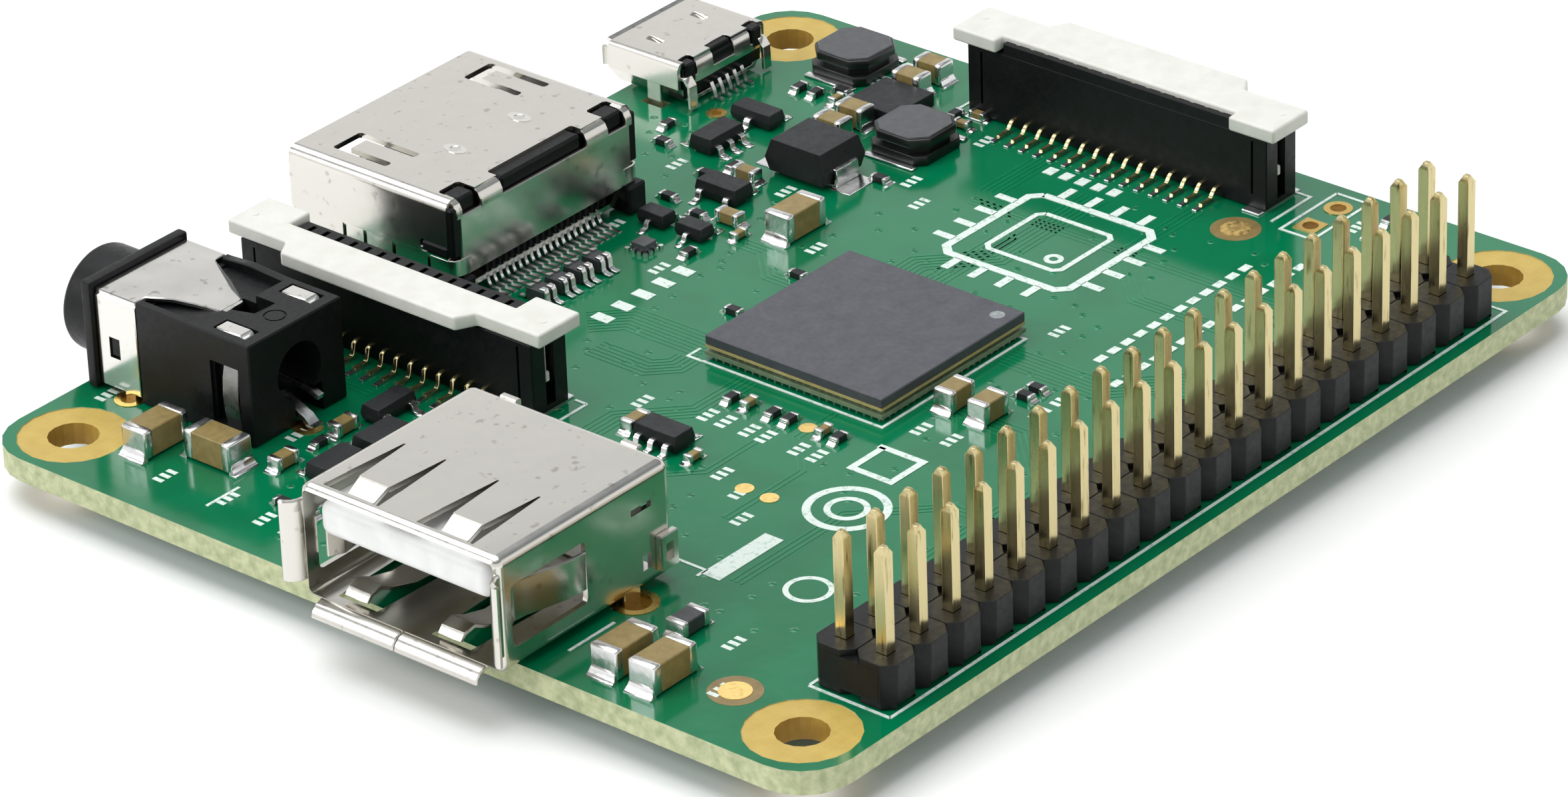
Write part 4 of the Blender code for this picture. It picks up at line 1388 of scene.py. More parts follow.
    def build_tongue(self) -> None:
        """Model the white tongue with its rounded lip and its seat."""
        v0 = self.middle
        blade = self.bench.block((56.4, v0 - 5.6, 4.5), (65.1, v0 + 5.6, 5.85), 0.2, 2)
        nose = self.bench.block((65.02, v0 - 5.65, 3.95), (66.45, v0 + 5.65, 5.9), 0.62, 5)
        seat = self.bench.block((55.4, v0 - 5.95, 0.7), (56.6, v0 + 5.95, 6.3), 0.15)
        grooves = []
        for step in (-3.5, -1, 1, 3.5):
            low, high = v0 + step - 0.62, v0 + step + 0.62
            grooves.append(self.bench.block((57.0, low, 4.3), (65.0, high, 4.62)))
        self.bench.carve(blade, grooves)
        self.bench.settle(
            "usb_tongue_moulded", [blade, nose, seat], TONGUE, "white_moulding", replaces=["usb_tongue"]
        )

    def build(self, nodes: dict[str, bpy.types.Object]) -> None:
        """Build the port and dress its contacts.

        Args:
            nodes: The CAD nodes.
        """
        self.build_shell()
        self.build_tongue()
        for number in range(1, 5):
            dress(nodes[f"usb_contact_{number}"], GOLD)


@dataclass
class VideoPort:
    """The video port at the middle of the long edge."""

    bench: Bench
    middle: float = 32.0
    half: float = 7.5
    mouth: float = -1.43
    rear: float = 10.4
    floor: float = 0.6
    top: float = 6.3
    sheet: float = 0.3
    leads: int = 19
    pitch: float = 0.5

    def section(self, inset: float) -> list[Point]:
        """Return the shell's section in u and h, with round upper corners.

        Args:
            inset: How far inside the outer face it lies.

        Returns:
            The outline.
        """
        reach, low, high = self.half - inset, self.floor + inset, self.top - inset
        radius = 0.6 - inset
        arc = [(math.cos(math.radians(d)), math.sin(math.radians(d))) for d in (0, 22, 45, 68, 90)]
        right = [(reach - radius + radius * c, high - radius + radius * s) for c, s in arc]
        left = [(-u, h) for u, h in reversed(right)]
        lower = [
            (-reach, 2.9), (-reach + 0.2, 2.4), (-reach + 1.7, low), (reach - 1.7, low), (reach - 0.2, 2.4),
            (reach, 2.9),
        ]
        return [(self.middle + u, h) for u, h in [*right, *left, *lower]]

    def build_shell(self) -> None:
        """Model the wrapped shell, its slit fingers, dents, side slots and rear bridges."""
        u0, top = self.middle, self.top
        tube = self.bench.profile(self.section(0.0), Axis.V, self.mouth, self.rear - 0.45)
        tools = [self.bench.profile(self.section(self.sheet), Axis.V, self.mouth - PAST, self.rear + PAST)]
        for low in (u0 - 6.55, u0 + 3.95):
            for offset in (0.0, 1.7):
                tools.append(
                    self.bench.block(
                        (low + offset, 1.0, top - 1), (low + offset + 0.5, 5.0 - offset * 0.3, top + PAST),
                        0.12,
                    )
                )
            tools.append(self.bench.block((low, 0.6, top - 1), (low + 2.2, 1.5, top + PAST), 0.12))
        for side in (-1, 1):
            wall = u0 + side * self.half
            tools.append(self.bench.block((wall + side * PAST, 8.0, 2.95), (wall - side, 11.0, 3.65), 0.1))
            near, far = u0 + side * 5.15, u0 + side * 6.75
            tools.append(self.bench.block((near, 8.75, top - 1), (far, 11.0, top + PAST), 0.15))
        tools.append(self.bench.block((u0 - 3.4, 9.25, top - 1), (u0 + 3.4, 11.0, top + PAST), 0.12))
        self.bench.carve(tube, tools)
        self.bench.bevel(tube, 0.04, 1, 50)
        made = [tube]
        for low in (u0 - 6.03, u0 + 4.47):
            finger = [(5.2, 6.19), (2.9, 6.19), (2.55, 6.1), (2.15, 5.7), (1.95, 5.62), (1.75, 5.68)]
            made.append(self.bench.strip(finger, 0.2, Axis.U, low, low + 1.16, 0.03))
        made.append(self.bench.block((u0 - 6.85, self.rear - 0.25, 1.75), (u0 + 6.85, self.rear, 5.35), 0.06))
        bend = [(9.2, 6.15), (9.75, 6.13), (10.1, 5.98), (10.27, 5.65), (10.28, 5.2)]
        for low, high in ((u0 - 5.15, u0 - 3.4), (u0 + 3.4, u0 + 5.15)):
            made.append(self.bench.strip(bend, 0.26, Axis.U, low, high, 0.05))
        for side in (-1, 1):
            near, far = sorted((u0 + side * 6.6, u0 + side * 7.1))
            made.append(self.bench.strip(bend, 0.26, Axis.U, near, far, 0.05))
            wall = u0 + side * (self.half - 0.14)
            strap = [
                (wall, 8.6), (wall, 9.9), (wall - side * 0.15, 10.2), (wall - side * 0.5, 10.33),
                (wall - side * 1.2, 10.33),
            ]
            made.append(self.bench.strip(strap, 0.25, Axis.H, 1.85, 2.85, 0.05))
            skirt = self.bench.block((wall - 0.13, -0.9, 1.15), (wall + 0.13, 8.4, 3.2), 0.05)
            slots = [
                self.bench.block((wall - 1.13, v, 0.0), (wall + 1.13, v + 0.26, 2.85))
                for v in (2.3, 3.8, 5.9)
            ]
            made.append(self.bench.carve(skirt, slots))
            for along in (1.2, 7.0):
                tab = self.bench.block(
                    (wall - 0.11, along - 0.6, -2.7), (wall + 0.11, along + 0.6, 1.5), 0.05
                )
                made.append(tab)
        self.bench.settle("video_shell_wrapped", made, NICKEL, "nickel_sheet", replaces=["video_shell"])
        dents = []
        for u, v in ((u0 - 2.5, 6.35), (u0 + 2.4, 6.1)):
            lens = [
                (u + 0.45 * math.cos(t), v + 0.75 * math.sin(t))
                for t in (math.tau * n / 24 for n in range(24))
            ]
            dent = self.bench.profile(lens, Axis.H, top - 0.25, top + 0.03)
            pit = self.bench.rod((u, v), 0.05, Axis.H, top - 0.2, top + 0.1, 24, 0.42)
            dents.append(self.bench.carve(dent, [pit]))
        self.bench.settle("video_shell_dents", dents, BRIGHT, "nickel_sheet")

    def build_insulator(self) -> None:
        """Model the black insulator: its core, its horned corners, its feet and its tongue."""
        u0 = self.middle
        core = self.bench.block((u0 - 6.9, 6.6, 1.3), (u0 + 6.9, self.rear - 0.5, 5.95), 0.12)
        ridge = self.bench.block((u0 - 3.2, 9.0, 5.2), (u0 + 3.2, self.rear - 0.3, 6.12), 0.15)
        made = [core, ridge, self.bench.block((u0 - 5.4, -0.4, 3.1), (u0 + 5.4, 6.8, 4.1), 0.12)]
        for side in (-1, 1):
            for near, far, low, high, front, back in (
                (5.3, 6.6, 5.0, 6.2, 8.9, 10.05),
                (6.75, 7.44, 2.95, 5.9, 9.0, self.rear - 0.05),
                (6.2, 7.62, 0.1, 1.75, 9.1, 10.75),
                (6.9, 7.56, 2.98, 3.6, 8.1, 10.0),
            ):
                near_corner = (u0 + side * near, front, low)
                made.append(self.bench.block(near_corner, (u0 + side * far, back, high), 0.12))
        comb = self.bench.block((-0.1, 9.55, 1.15), (0.1, 10.2, 1.85))
        steps = [(u0 + (n - 9.5) * self.pitch, 0.0, 0.0) for n in range(self.leads + 1)]
        made.append(self.bench.copies(comb, steps))
        self.bench.settle(
            "video_insulator_moulded", made, BLACK, "black_moulding", replaces=["video_insulator"]
        )

    def build_leads(self) -> None:
        """Model one lead and repeat it along the rear."""
        path = [
            (8.6, 1.62), (9.45, 1.6), (9.72, 1.4), (9.84, 0.9), (9.95, 0.4), (10.1, 0.17), (10.35, 0.12),
            (10.8, 0.12),
        ]
        lead = self.bench.strip(path, 0.16, Axis.U, -0.12, 0.12, 0.03)
        steps = [(self.middle + (n - 9) * self.pitch, 0.0, 0.0) for n in range(self.leads)]
        self.bench.settle("video_leads", self.bench.copies(lead, steps), TIN, "contact_metal")
        pad = self.bench.block((-0.14, 10.1, SUNK), (0.14, 11.5, 0.06), 0.02)
        self.bench.settle("video_lead_pads", self.bench.copies(pad, steps), SOLDER, "contact_metal")

    def build(self) -> None:
        """Build the port."""
        self.build_shell()
        self.build_insulator()
        self.build_leads()


@dataclass
class PowerPort:
    """The small power port in the corner."""

    bench: Bench
    middle: float = 10.6
    half: float = 3.75
    top: float = 2.85
    floor: float = 0.15
    sheet: float = 0.25

    def section(self, inset: float) -> list[Point]:
        """Return the shell's section in u and h.

        Args:
            inset: How far inside the outer face it lies.

        Returns:
            The outline.
        """
        reach, low, high = self.half - inset, self.floor + inset, self.top - inset
        corner = 0.35 - inset * 0.6
        shape = [(reach, high - corner), (reach - corner * 0.3, high - corner * 0.3), (reach - corner, high)]
        shape += [(-u, h) for u, h in reversed(shape)]
        shape += [(-reach, 1.3), (-reach + 0.9, low), (reach - 0.9, low), (reach, 1.3)]
        return [(self.middle + u, h) for u, h in shape]

    def build(self) -> None:
        """Model the shell with its flared mouth and rear bridges, the insulator and the leads."""
        u0, top = self.middle, self.top
        tube = self.bench.profile(self.section(0.0), Axis.V, -0.75, 4.45)
        tools = [self.bench.profile(self.section(self.sheet), Axis.V, -2.0, 6.0)]
        for u in (u0 - 1.9, u0 + 1.9):
            tools.append(self.bench.block((u - 0.25, 0.7, top - 0.5), (u + 0.25, 1.8, top + 0.5), 0.08))
        for low, high in ((-3.2, -2.3), (-0.9, 0.9), (2.3, 3.2)):
            tools.append(self.bench.block((u0 + low, 3.95, top - 0.8), (u0 + high, 5.0, top + 0.5), 0.08))
        self.bench.carve(tube, tools)
        self.bench.bevel(tube, 0.03, 1, 50)
        made = [tube]
        bend = [(3.7, 2.72), (4.25, 2.7), (4.5, 2.5), (4.58, 2.1), (4.58, 1.35)]
        for low, high in ((-2.3, -0.9), (0.9, 2.3)):
            made.append(self.bench.strip(bend, 0.22, Axis.U, u0 + low, u0 + high, 0.04))
        made.append(self.bench.block((u0 - 3.3, 4.46, 1.35), (u0 + 3.3, 4.68, 1.85), 0.05))
        flare = [(-0.6, top - 0.12), (-0.85, top - 0.1), (-1.1, top - 0.02)]
        made.append(self.bench.strip(flare, 0.2, Axis.U, u0 - 3.4, u0 + 3.4, 0.04))
        sill = [(-0.6, 0.3), (-0.85, 0.28), (-1.1, 0.16)]
        made.append(self.bench.strip(sill, 0.2, Axis.U, u0 - 2.7, u0 + 2.7, 0.04))
        for side in (-1, 1):
            wall = u0 + side * (self.half - 0.12)
            cheek = [(wall, -0.6), (wall + side * 0.04, -0.85), (wall + side * 0.16, -1.1)]
            made.append(self.bench.strip(cheek, 0.2, Axis.H, 1.4, 2.6, 0.04))
            made.append(self.bench.block((wall - 0.1, 2.1, -1.2), (wall + 0.1, 3.1, 1.6), 0.04))
            hook = [(4.2, 1.9), (4.7, 1.9), (5.0, 1.5), (5.05, 0.15)]
            near, far = sorted((wall - side * 0.1, wall - side * 0.75))
            made.append(self.bench.strip(hook, 0.22, Axis.U, near, far, 0.04))
        for u, v in ((u0 - 1.9, 1.25), (u0 + 1.9, 1.25)):
            made.append(
                self.bench.strip([(v - 0.6, 2.72), (v, 2.6), (v + 0.45, 2.5)], 0.14, Axis.U, u - 0.2, u + 0.2)
            )
        self.bench.settle("power_shell_folded", made, NICKEL, "nickel_sheet", replaces=["power_shell"])
        core = self.bench.block((u0 - 3.35, 3.3, 0.5), (u0 + 3.35, 4.5, 2.45), 0.08)
        horns = [
            self.bench.block((u0 + low, 4.0, 1.5), (u0 + low + 0.8, 4.72, 2.74), 0.1) for low in (-3.25, 2.45)
        ]
        tongue = self.bench.block((u0 - 1.8, -0.3, 1.5), (u0 + 1.8, 3.6, 2.1), 0.06)
        bar = self.bench.block((u0 - 0.85, 3.9, 2.1), (u0 + 0.85, 4.4, 2.78), 0.08)
        made = [core, tongue, bar, *horns]
        self.bench.settle(
            "power_insulator_moulded", made, BLACK, "black_moulding", replaces=["power_insulator"]
        )
        lead = self.bench.strip(
            [(4.2, 0.9), (4.75, 0.9), (4.95, 0.5), (5.05, 0.12), (5.6, 0.1)], 0.14, Axis.U, -0.13, 0.13
        )
        steps = [(u0 + n * 0.65, 0.0, 0.0) for n in (-2, -1, 0, 1, 2)]
        self.bench.settle("power_port_leads", self.bench.copies(lead, steps), TIN, "contact_metal")


@dataclass
class SoundSocket:
    """The round sound socket with its silver shield."""

    bench: Bench
    middle: float = 53.5
    half: float = 3.5
    top: float = 5.95
    axis_height: float = 3.05
    shield_end: float = 4.1
    rear: float = 12.2

    def build_housing(self) -> None:
        """Model the housing: body with its sunk top, flange, barrel, bore and contact pockets."""
        u0, half, top = self.middle, self.half, self.top
        body = self.bench.block((u0 - half, self.shield_end, 0.05), (u0 + half, self.rear, top), 0.08)
        sunk = [
            (u0 - half + 0.5, 4.0), (u0 + half - 0.5, 4.0), (u0 + half - 0.5, 8.6), (u0 + 1.0, 8.6),
            (u0 + 0.55, 10.0), (u0 - 0.9, 10.0), (u0 - 0.9, 8.6), (u0 - half + 0.5, 8.6),
        ]
        tools = [self.bench.profile(sunk, Axis.H, top - 0.45, top + PAST)]
        well = [(u0 - 0.9, 7.7), (u0 + 0.7, 7.7), (u0 + 0.7, 9.3), (u0 - 0.9, 9.3)]
        tools.append(self.bench.profile(well, Axis.H, top - 1.6, top + PAST))
        for low in (u0 - 2.95, u0 + 1.95):
            tools.append(self.bench.block((low - 0.08, 9.2, top - 0.6), (low + 1.0, 11.5, top + PAST)))
        tools.append(self.bench.block((u0 + half - 0.55, 9.5, 0.8), (u0 + half + PAST, 11.35, 4.35)))
        tools.append(self.bench.block((u0 + half - 0.2, 9.35, 0.8), (u0 + half + PAST, 9.6, 4.35)))
        tools.append(self.bench.rod((u0 - 0.1, self.axis_height), 1.62, Axis.V, -5, self.rear + PAST, 40))
        tools.append(self.bench.block((u0 - 1.7, self.rear - 1.4, -1), (u0 + 0.4, self.rear + PAST, 1.75)))
        dial = self.bench.rod((u0 + 0.1, 10.9), 0.62, Axis.H, top - 0.06, top + PAST, 28)
        tools.append(
            self.bench.carve(dial, [self.bench.rod((u0 + 0.1, 10.9), 0.52, Axis.H, top - 1, top + 2, 28)])
        )
        self.bench.carve(body, tools)
        neck = self.bench.block((u0 - half + 0.32, 0.8, 0.05), (u0 + half - 0.32, 4.5, top - 0.32), 0.05)
        flange = self.bench.block((u0 - half - 0.1, 0.48, 0.1), (u0 + half + 0.3, 1.12, top + 0.35), 0.12, 2)
        barrel = self.bench.rod((u0, self.axis_height), 2.95, Axis.V, -2.1, 0.8, 64)
        self.bench.bevel(barrel, 0.35, 4)
        for solid in (neck, flange, barrel):
            self.bench.carve(solid, [self.bench.rod((u0 - 0.1, self.axis_height), 1.75, Axis.V, -5, 9, 40)])
        rim = self.bench.profile(
            [(4.1, top - 0.5), (4.25, top - 0.02), (6.2, top + 0.12), (8.7, top - 0.02), (8.9, top - 0.5)],
            Axis.U, u0 - half + 0.02, u0 - half + 0.55, 0.05,
        )
        stair = self.bench.profile(
            [(4.1, top - 0.5), (4.2, top - 0.05), (7.6, top - 0.02), (8.7, top - 0.28), (8.7, top - 0.5)],
            Axis.U, u0 + half - 0.5, u0 + half - 0.02, 0.05,
        )
        made = [body, neck, flange, barrel, rim, stair]
        self.bench.settle("sound_housing_moulded", made, BLACK, "black_moulding", replaces=["sound_housing"])

    def build_shield(self) -> None:
        """Model the shield: top plate with its pointed tail, and cheeks with a window."""
        u0, half, top = self.middle, self.half, self.top
        front = 1.16
        plate = [
            (u0 - half + 0.1, front), (u0 + half - 0.1, front), (u0 + half - 0.1, 4.05),
            (u0 + half - 0.9, 4.05), (u0 + 1.9, 5.4), (u0 + 1.45, 6.6), (u0 + 0.75, 7.9), (u0 - 0.7, 7.9),
            (u0 - 1.5, 6.3), (u0 - half + 0.9, 4.05), (u0 - half + 0.1, 4.05),
        ]
        made = [self.bench.profile(plate, Axis.H, top - 0.27, top - 0.02, 0.05)]
        for vertex in made[0].data.vertices:
            vertex.co.z -= max(0.0, vertex.co.y - 6.2) * 0.28
        for side in (-1, 1):
            wall = u0 + side * (half - 0.14)
            fold = [
                (u0 + side * (half - 0.7), top - 0.15), (u0 + side * (half - 0.35), top - 0.17),
                (wall, top - 0.45), (wall, 3.0), (wall, 0.35),
            ]
            cheek = self.bench.strip(fold, 0.26, Axis.V, front, 4.04, 0.04)
            self.bench.carve(cheek, [self.bench.block((wall - 0.5, 2.0, 2.15), (wall + 0.5, 2.75, 3.35))])
            made.append(cheek)
            made.append(self.bench.block((wall - 0.1, 2.9, -2.3), (wall + 0.1, 3.6, 0.5)))
        self.bench.settle("sound_shield_wrapped", made, BRIGHT, "nickel_sheet", replaces=["sound_shield"])
        stub = self.bench.block((u0 + half - 0.34, 2.02, 2.2), (u0 + half - 0.1, 2.72, 3.3), 0.08)
        self.bench.settle("sound_window_stub", stub, BLACK, "black_moulding")

    def build_contacts(self) -> None:
        """Model the springs that show on the top, on the side and through the rear hole."""
        u0, top = self.middle, self.top
        made = []
        tip = [(9.3, top - 0.12), (11.0, top - 0.1), (11.3, top - 0.3), (11.3, top - 0.6)]
        for low in (u0 - 2.95, u0 + 1.95):
            made.append(self.bench.strip(tip, 0.24, Axis.U, low, low + 0.9, 0.06))
        wall = u0 + self.half
        bow = [(wall - 0.5, 0.5), (wall - 0.3, 1.4), (wall - 0.22, 2.4), (wall - 0.3, 3.4), (wall - 0.5, 4.2)]
        side = self.bench.strip(bow, 0.16, Axis.V, 9.95, 11.05, 0.04)
        nodes = ["sound_contact_left", "sound_contact_right"]
        self.bench.settle("sound_top_contacts", made, BRIGHT, "contact_metal", replaces=nodes)
        self.bench.settle("sound_side_spring", side, SPRING, "contact_metal", replaces=["sound_contact_side"])
        blades = [
            self.bench.strip([(4.6, 4.4), (8.0, 4.0), (11.6, 4.5)], 0.2, Axis.U, u0 - 0.7, u0 + 0.5, 0.04),
            self.bench.strip(
                [(8.0, 1.3), (11.2, 1.1), (12.6, 0.5), (13.0, 0.12), (13.4, 0.1)], 0.3, Axis.U, u0 - 0.4,
                u0 + 0.3,
            ),
            self.bench.strip([(9.5, 1.6), (11.8, 1.5), (12.6, 1.2)], 0.3, Axis.U, u0 - 1.3, u0 - 0.9),
        ]
        self.bench.settle("sound_rear_contacts", blades, TIN, "contact_metal")

    def build(self) -> None:
        """Build the socket."""
        self.build_housing()
        self.build_shield()
        self.build_contacts()


@dataclass
class RibbonConnector:
    """An upright flat-cable connector with a latch that lifts."""

    bench: Bench
    prefix: str
    centre: Point
    latch_side: int
    latch_inner: float = -0.18
    lead_rise: float = 0.95
    half_length: float = 10.3
    half_depth: float = 1.35
    ways: int = 15

    def slab(self, first: Place, second: Place, bevel: float = 0.0) -> bpy.types.Object:
        """Model a box whose depths are counted from the comb towards the latch's bump."""
        corners = [(self.latch_side * depth, *rest) for depth, *rest in (first, second)]
        return self.bench.block(*corners, bevel)

    def build_housing(self) -> None:
        """Model the housing with its end slots, flank grooves and notched comb."""
        length, depth = self.half_length, self.half_depth
        body = self.slab((-depth, -length, 0.1), (depth, length, 4.4), 0.06)
        tools = [self.slab((-0.3, -8.1, 0.8), (0.75, 8.1, 6.0))]
        for side in (-1, 1):
            tools.append(self.slab((-0.35, side * 8.6, 0.5), (0.35, side * (length + PAST), 6.0)))
            for face in (-1, 1):
                skin = (face * (depth - 0.15), side * 9.25, 0.9)
                tools.append(self.bench.block(skin, (face * (depth + PAST), side * 9.4, 4.1)))
        self.bench.carve(body, tools)
        comb = self.slab((-depth + 0.02, -7.8, 3.0), (-0.32, 7.8, 5.05), 0.06)
        notch = self.slab((-1.05, -0.15, 4.5), (0.2, 0.15, 6.0))
        notches = self.bench.copies(notch, [(0.0, n - 7.0, 0.0) for n in range(self.ways)])
        self.bench.carve(comb, [notches])
        self.finish(
            f"{self.prefix}_housing_moulded", [body, comb], BLACK, "black_moulding", f"{self.prefix}_housing"
        )

    def finish(
        self,
        name: str,
        pieces: Sequence[bpy.types.Object],
        finish: Finish,
        slot: str,
        node: str = "",
        body: str = ROOT,
    ) -> None:
        """Settle a piece at this connector's place.

        Args:
            name: The piece's name.
            pieces: What it is joined from.
            finish: Its finish.
            slot: A material slot's name; not used.
            node: The CAD node that it stands for, if any.
            body: The body that it rides on.
        """
        shift = (*self.centre, 0.0)
        self.bench.settle(name, list(pieces), finish, slot, body, [node] if node else (), shift)

    def build_latch(self) -> None:
        """Model the latch: its cap with the stepped bump, its end legs and its pressing bar."""
        wing = 11.05
        outline = [(-1.75, -wing), (1.5, -wing), (1.5, -6.75), (2.6, -6.15), (2.6, 6.15), (1.5, 6.75)]
        outline += [
            (1.5, wing), (-1.75, wing), (-1.75, 8.0), (self.latch_inner, 8.0), (self.latch_inner, -8.0),
            (-1.75, -8.0),
        ]
        cap = self.bench.profile([(self.latch_side * u, v) for u, v in outline], Axis.H, 4.5, 5.35, 0.16, 3)
        made = [cap, self.slab((0.1, -7.7, 2.6), (0.6, 7.7, 4.7), 0.05)]
        for side in (-1, 1):
            made.append(self.slab((-0.2, side * 8.75, 1.6), (0.2, side * 9.9, 4.7), 0.05))
            made.append(self.slab((-0.18, side * 9.6, 1.7), (0.18, side * 10.15, 2.3), 0.08))
            made.append(self.bench.rod((self.latch_side * 0.2, side * 10.2), 0.18, Axis.H, 5.34, 5.37, 16))
        body = f"{self.prefix}_latch_body"
        self.finish(
            f"{self.prefix}_latch_moulded", made, WHITE, "white_moulding", f"{self.prefix}_latch", body
        )

    def build_leads(self) -> None:
        """Model one lead and its pad and repeat them along the side away from the board's edge."""
        rise = self.lead_rise
        path = [(1.1, rise), (1.55, rise), (1.75, rise - 0.12), (1.85, 0.35), (2.0, 0.16), (2.9, 0.14)]
        lead = self.bench.strip(path, 0.16, Axis.V, -0.13, 0.13, 0.03)
        steps = [(0.0, n - 7.0, 0.0) for n in range(self.ways)]
        self.finish(f"{self.prefix}_leads", [self.bench.copies(lead, steps)], GOLD, "gold_contact")
        pad = self.bench.block((1.9, -0.17, SUNK), (3.5, 0.17, 0.1), 0.04)
        foot = self.bench.block((-1.9, -0.6, SUNK), (1.9, 0.6, 0.12), 0.04)
        feet = self.bench.copies(foot, [(0.0, -9.6, 0.0), (0.0, 9.6, 0.0)])
        self.finish(
            f"{self.prefix}_lead_pads", [self.bench.copies(pad, steps), feet], SOLDER, "contact_metal"
        )

    def build(self) -> None:
        """Build the connector."""
        self.build_housing()
        self.build_latch()
        self.build_leads()


def dress(node: bpy.types.Object, finish: Finish) -> None:
    """Give a carried-over CAD node a finish.

    Args:
        node: The CAD node.
        finish: Its finish.
    """
    node.data.materials.clear()
    node.data.materials.append(finish.material())


@dataclass
class CardSocket:
    """The memory card socket under the board."""

    bench: Bench
    middle: float = 28.0

    def build(self, nodes: dict[str, bpy.types.Object]) -> None:
        """Dress the socket's CAD nodes and add its contacts and soldered feet.

        Args:
            nodes: The CAD nodes.
        """
        for name, finish, slot in (
            ("card_base", BLACK, "black_moulding"),
            ("card_cover", NICKEL, "nickel_sheet"),
            ("card_slider", BLACK, "black_moulding"),
            ("card_spring", TIN, "contact_metal"),
            ("card_cam_rod", TIN, "contact_metal"),
        ):
            dress(nodes[name], finish)
        foot = self.bench.block((-0.7, -0.5, -1.5), (0.7, 0.5, -1.33), 0.04)
        steps = [(u, self.middle + side * 7.75, 0.0) for u in (3.0, 13.0) for side in (-1, 1)]
        lead = self.bench.strip(
            [(15.3, -1.75), (15.8, -1.75), (16.1, -1.42), (16.9, -1.42)], 0.14, Axis.V, -0.2, 0.2
        )
        leads = self.bench.copies(lead, [(0.0, self.middle + 1.1 * (n - 3.5), 0.0) for n in range(8)])
        self.bench.settle("card_socket_leads", [self.bench.copies(foot, steps), leads], TIN, "contact_metal")


class Along(Enum):
    """The direction that a package's long side lies in."""

    U = 0
    V = 90


Seat = tuple[float, float, Along]


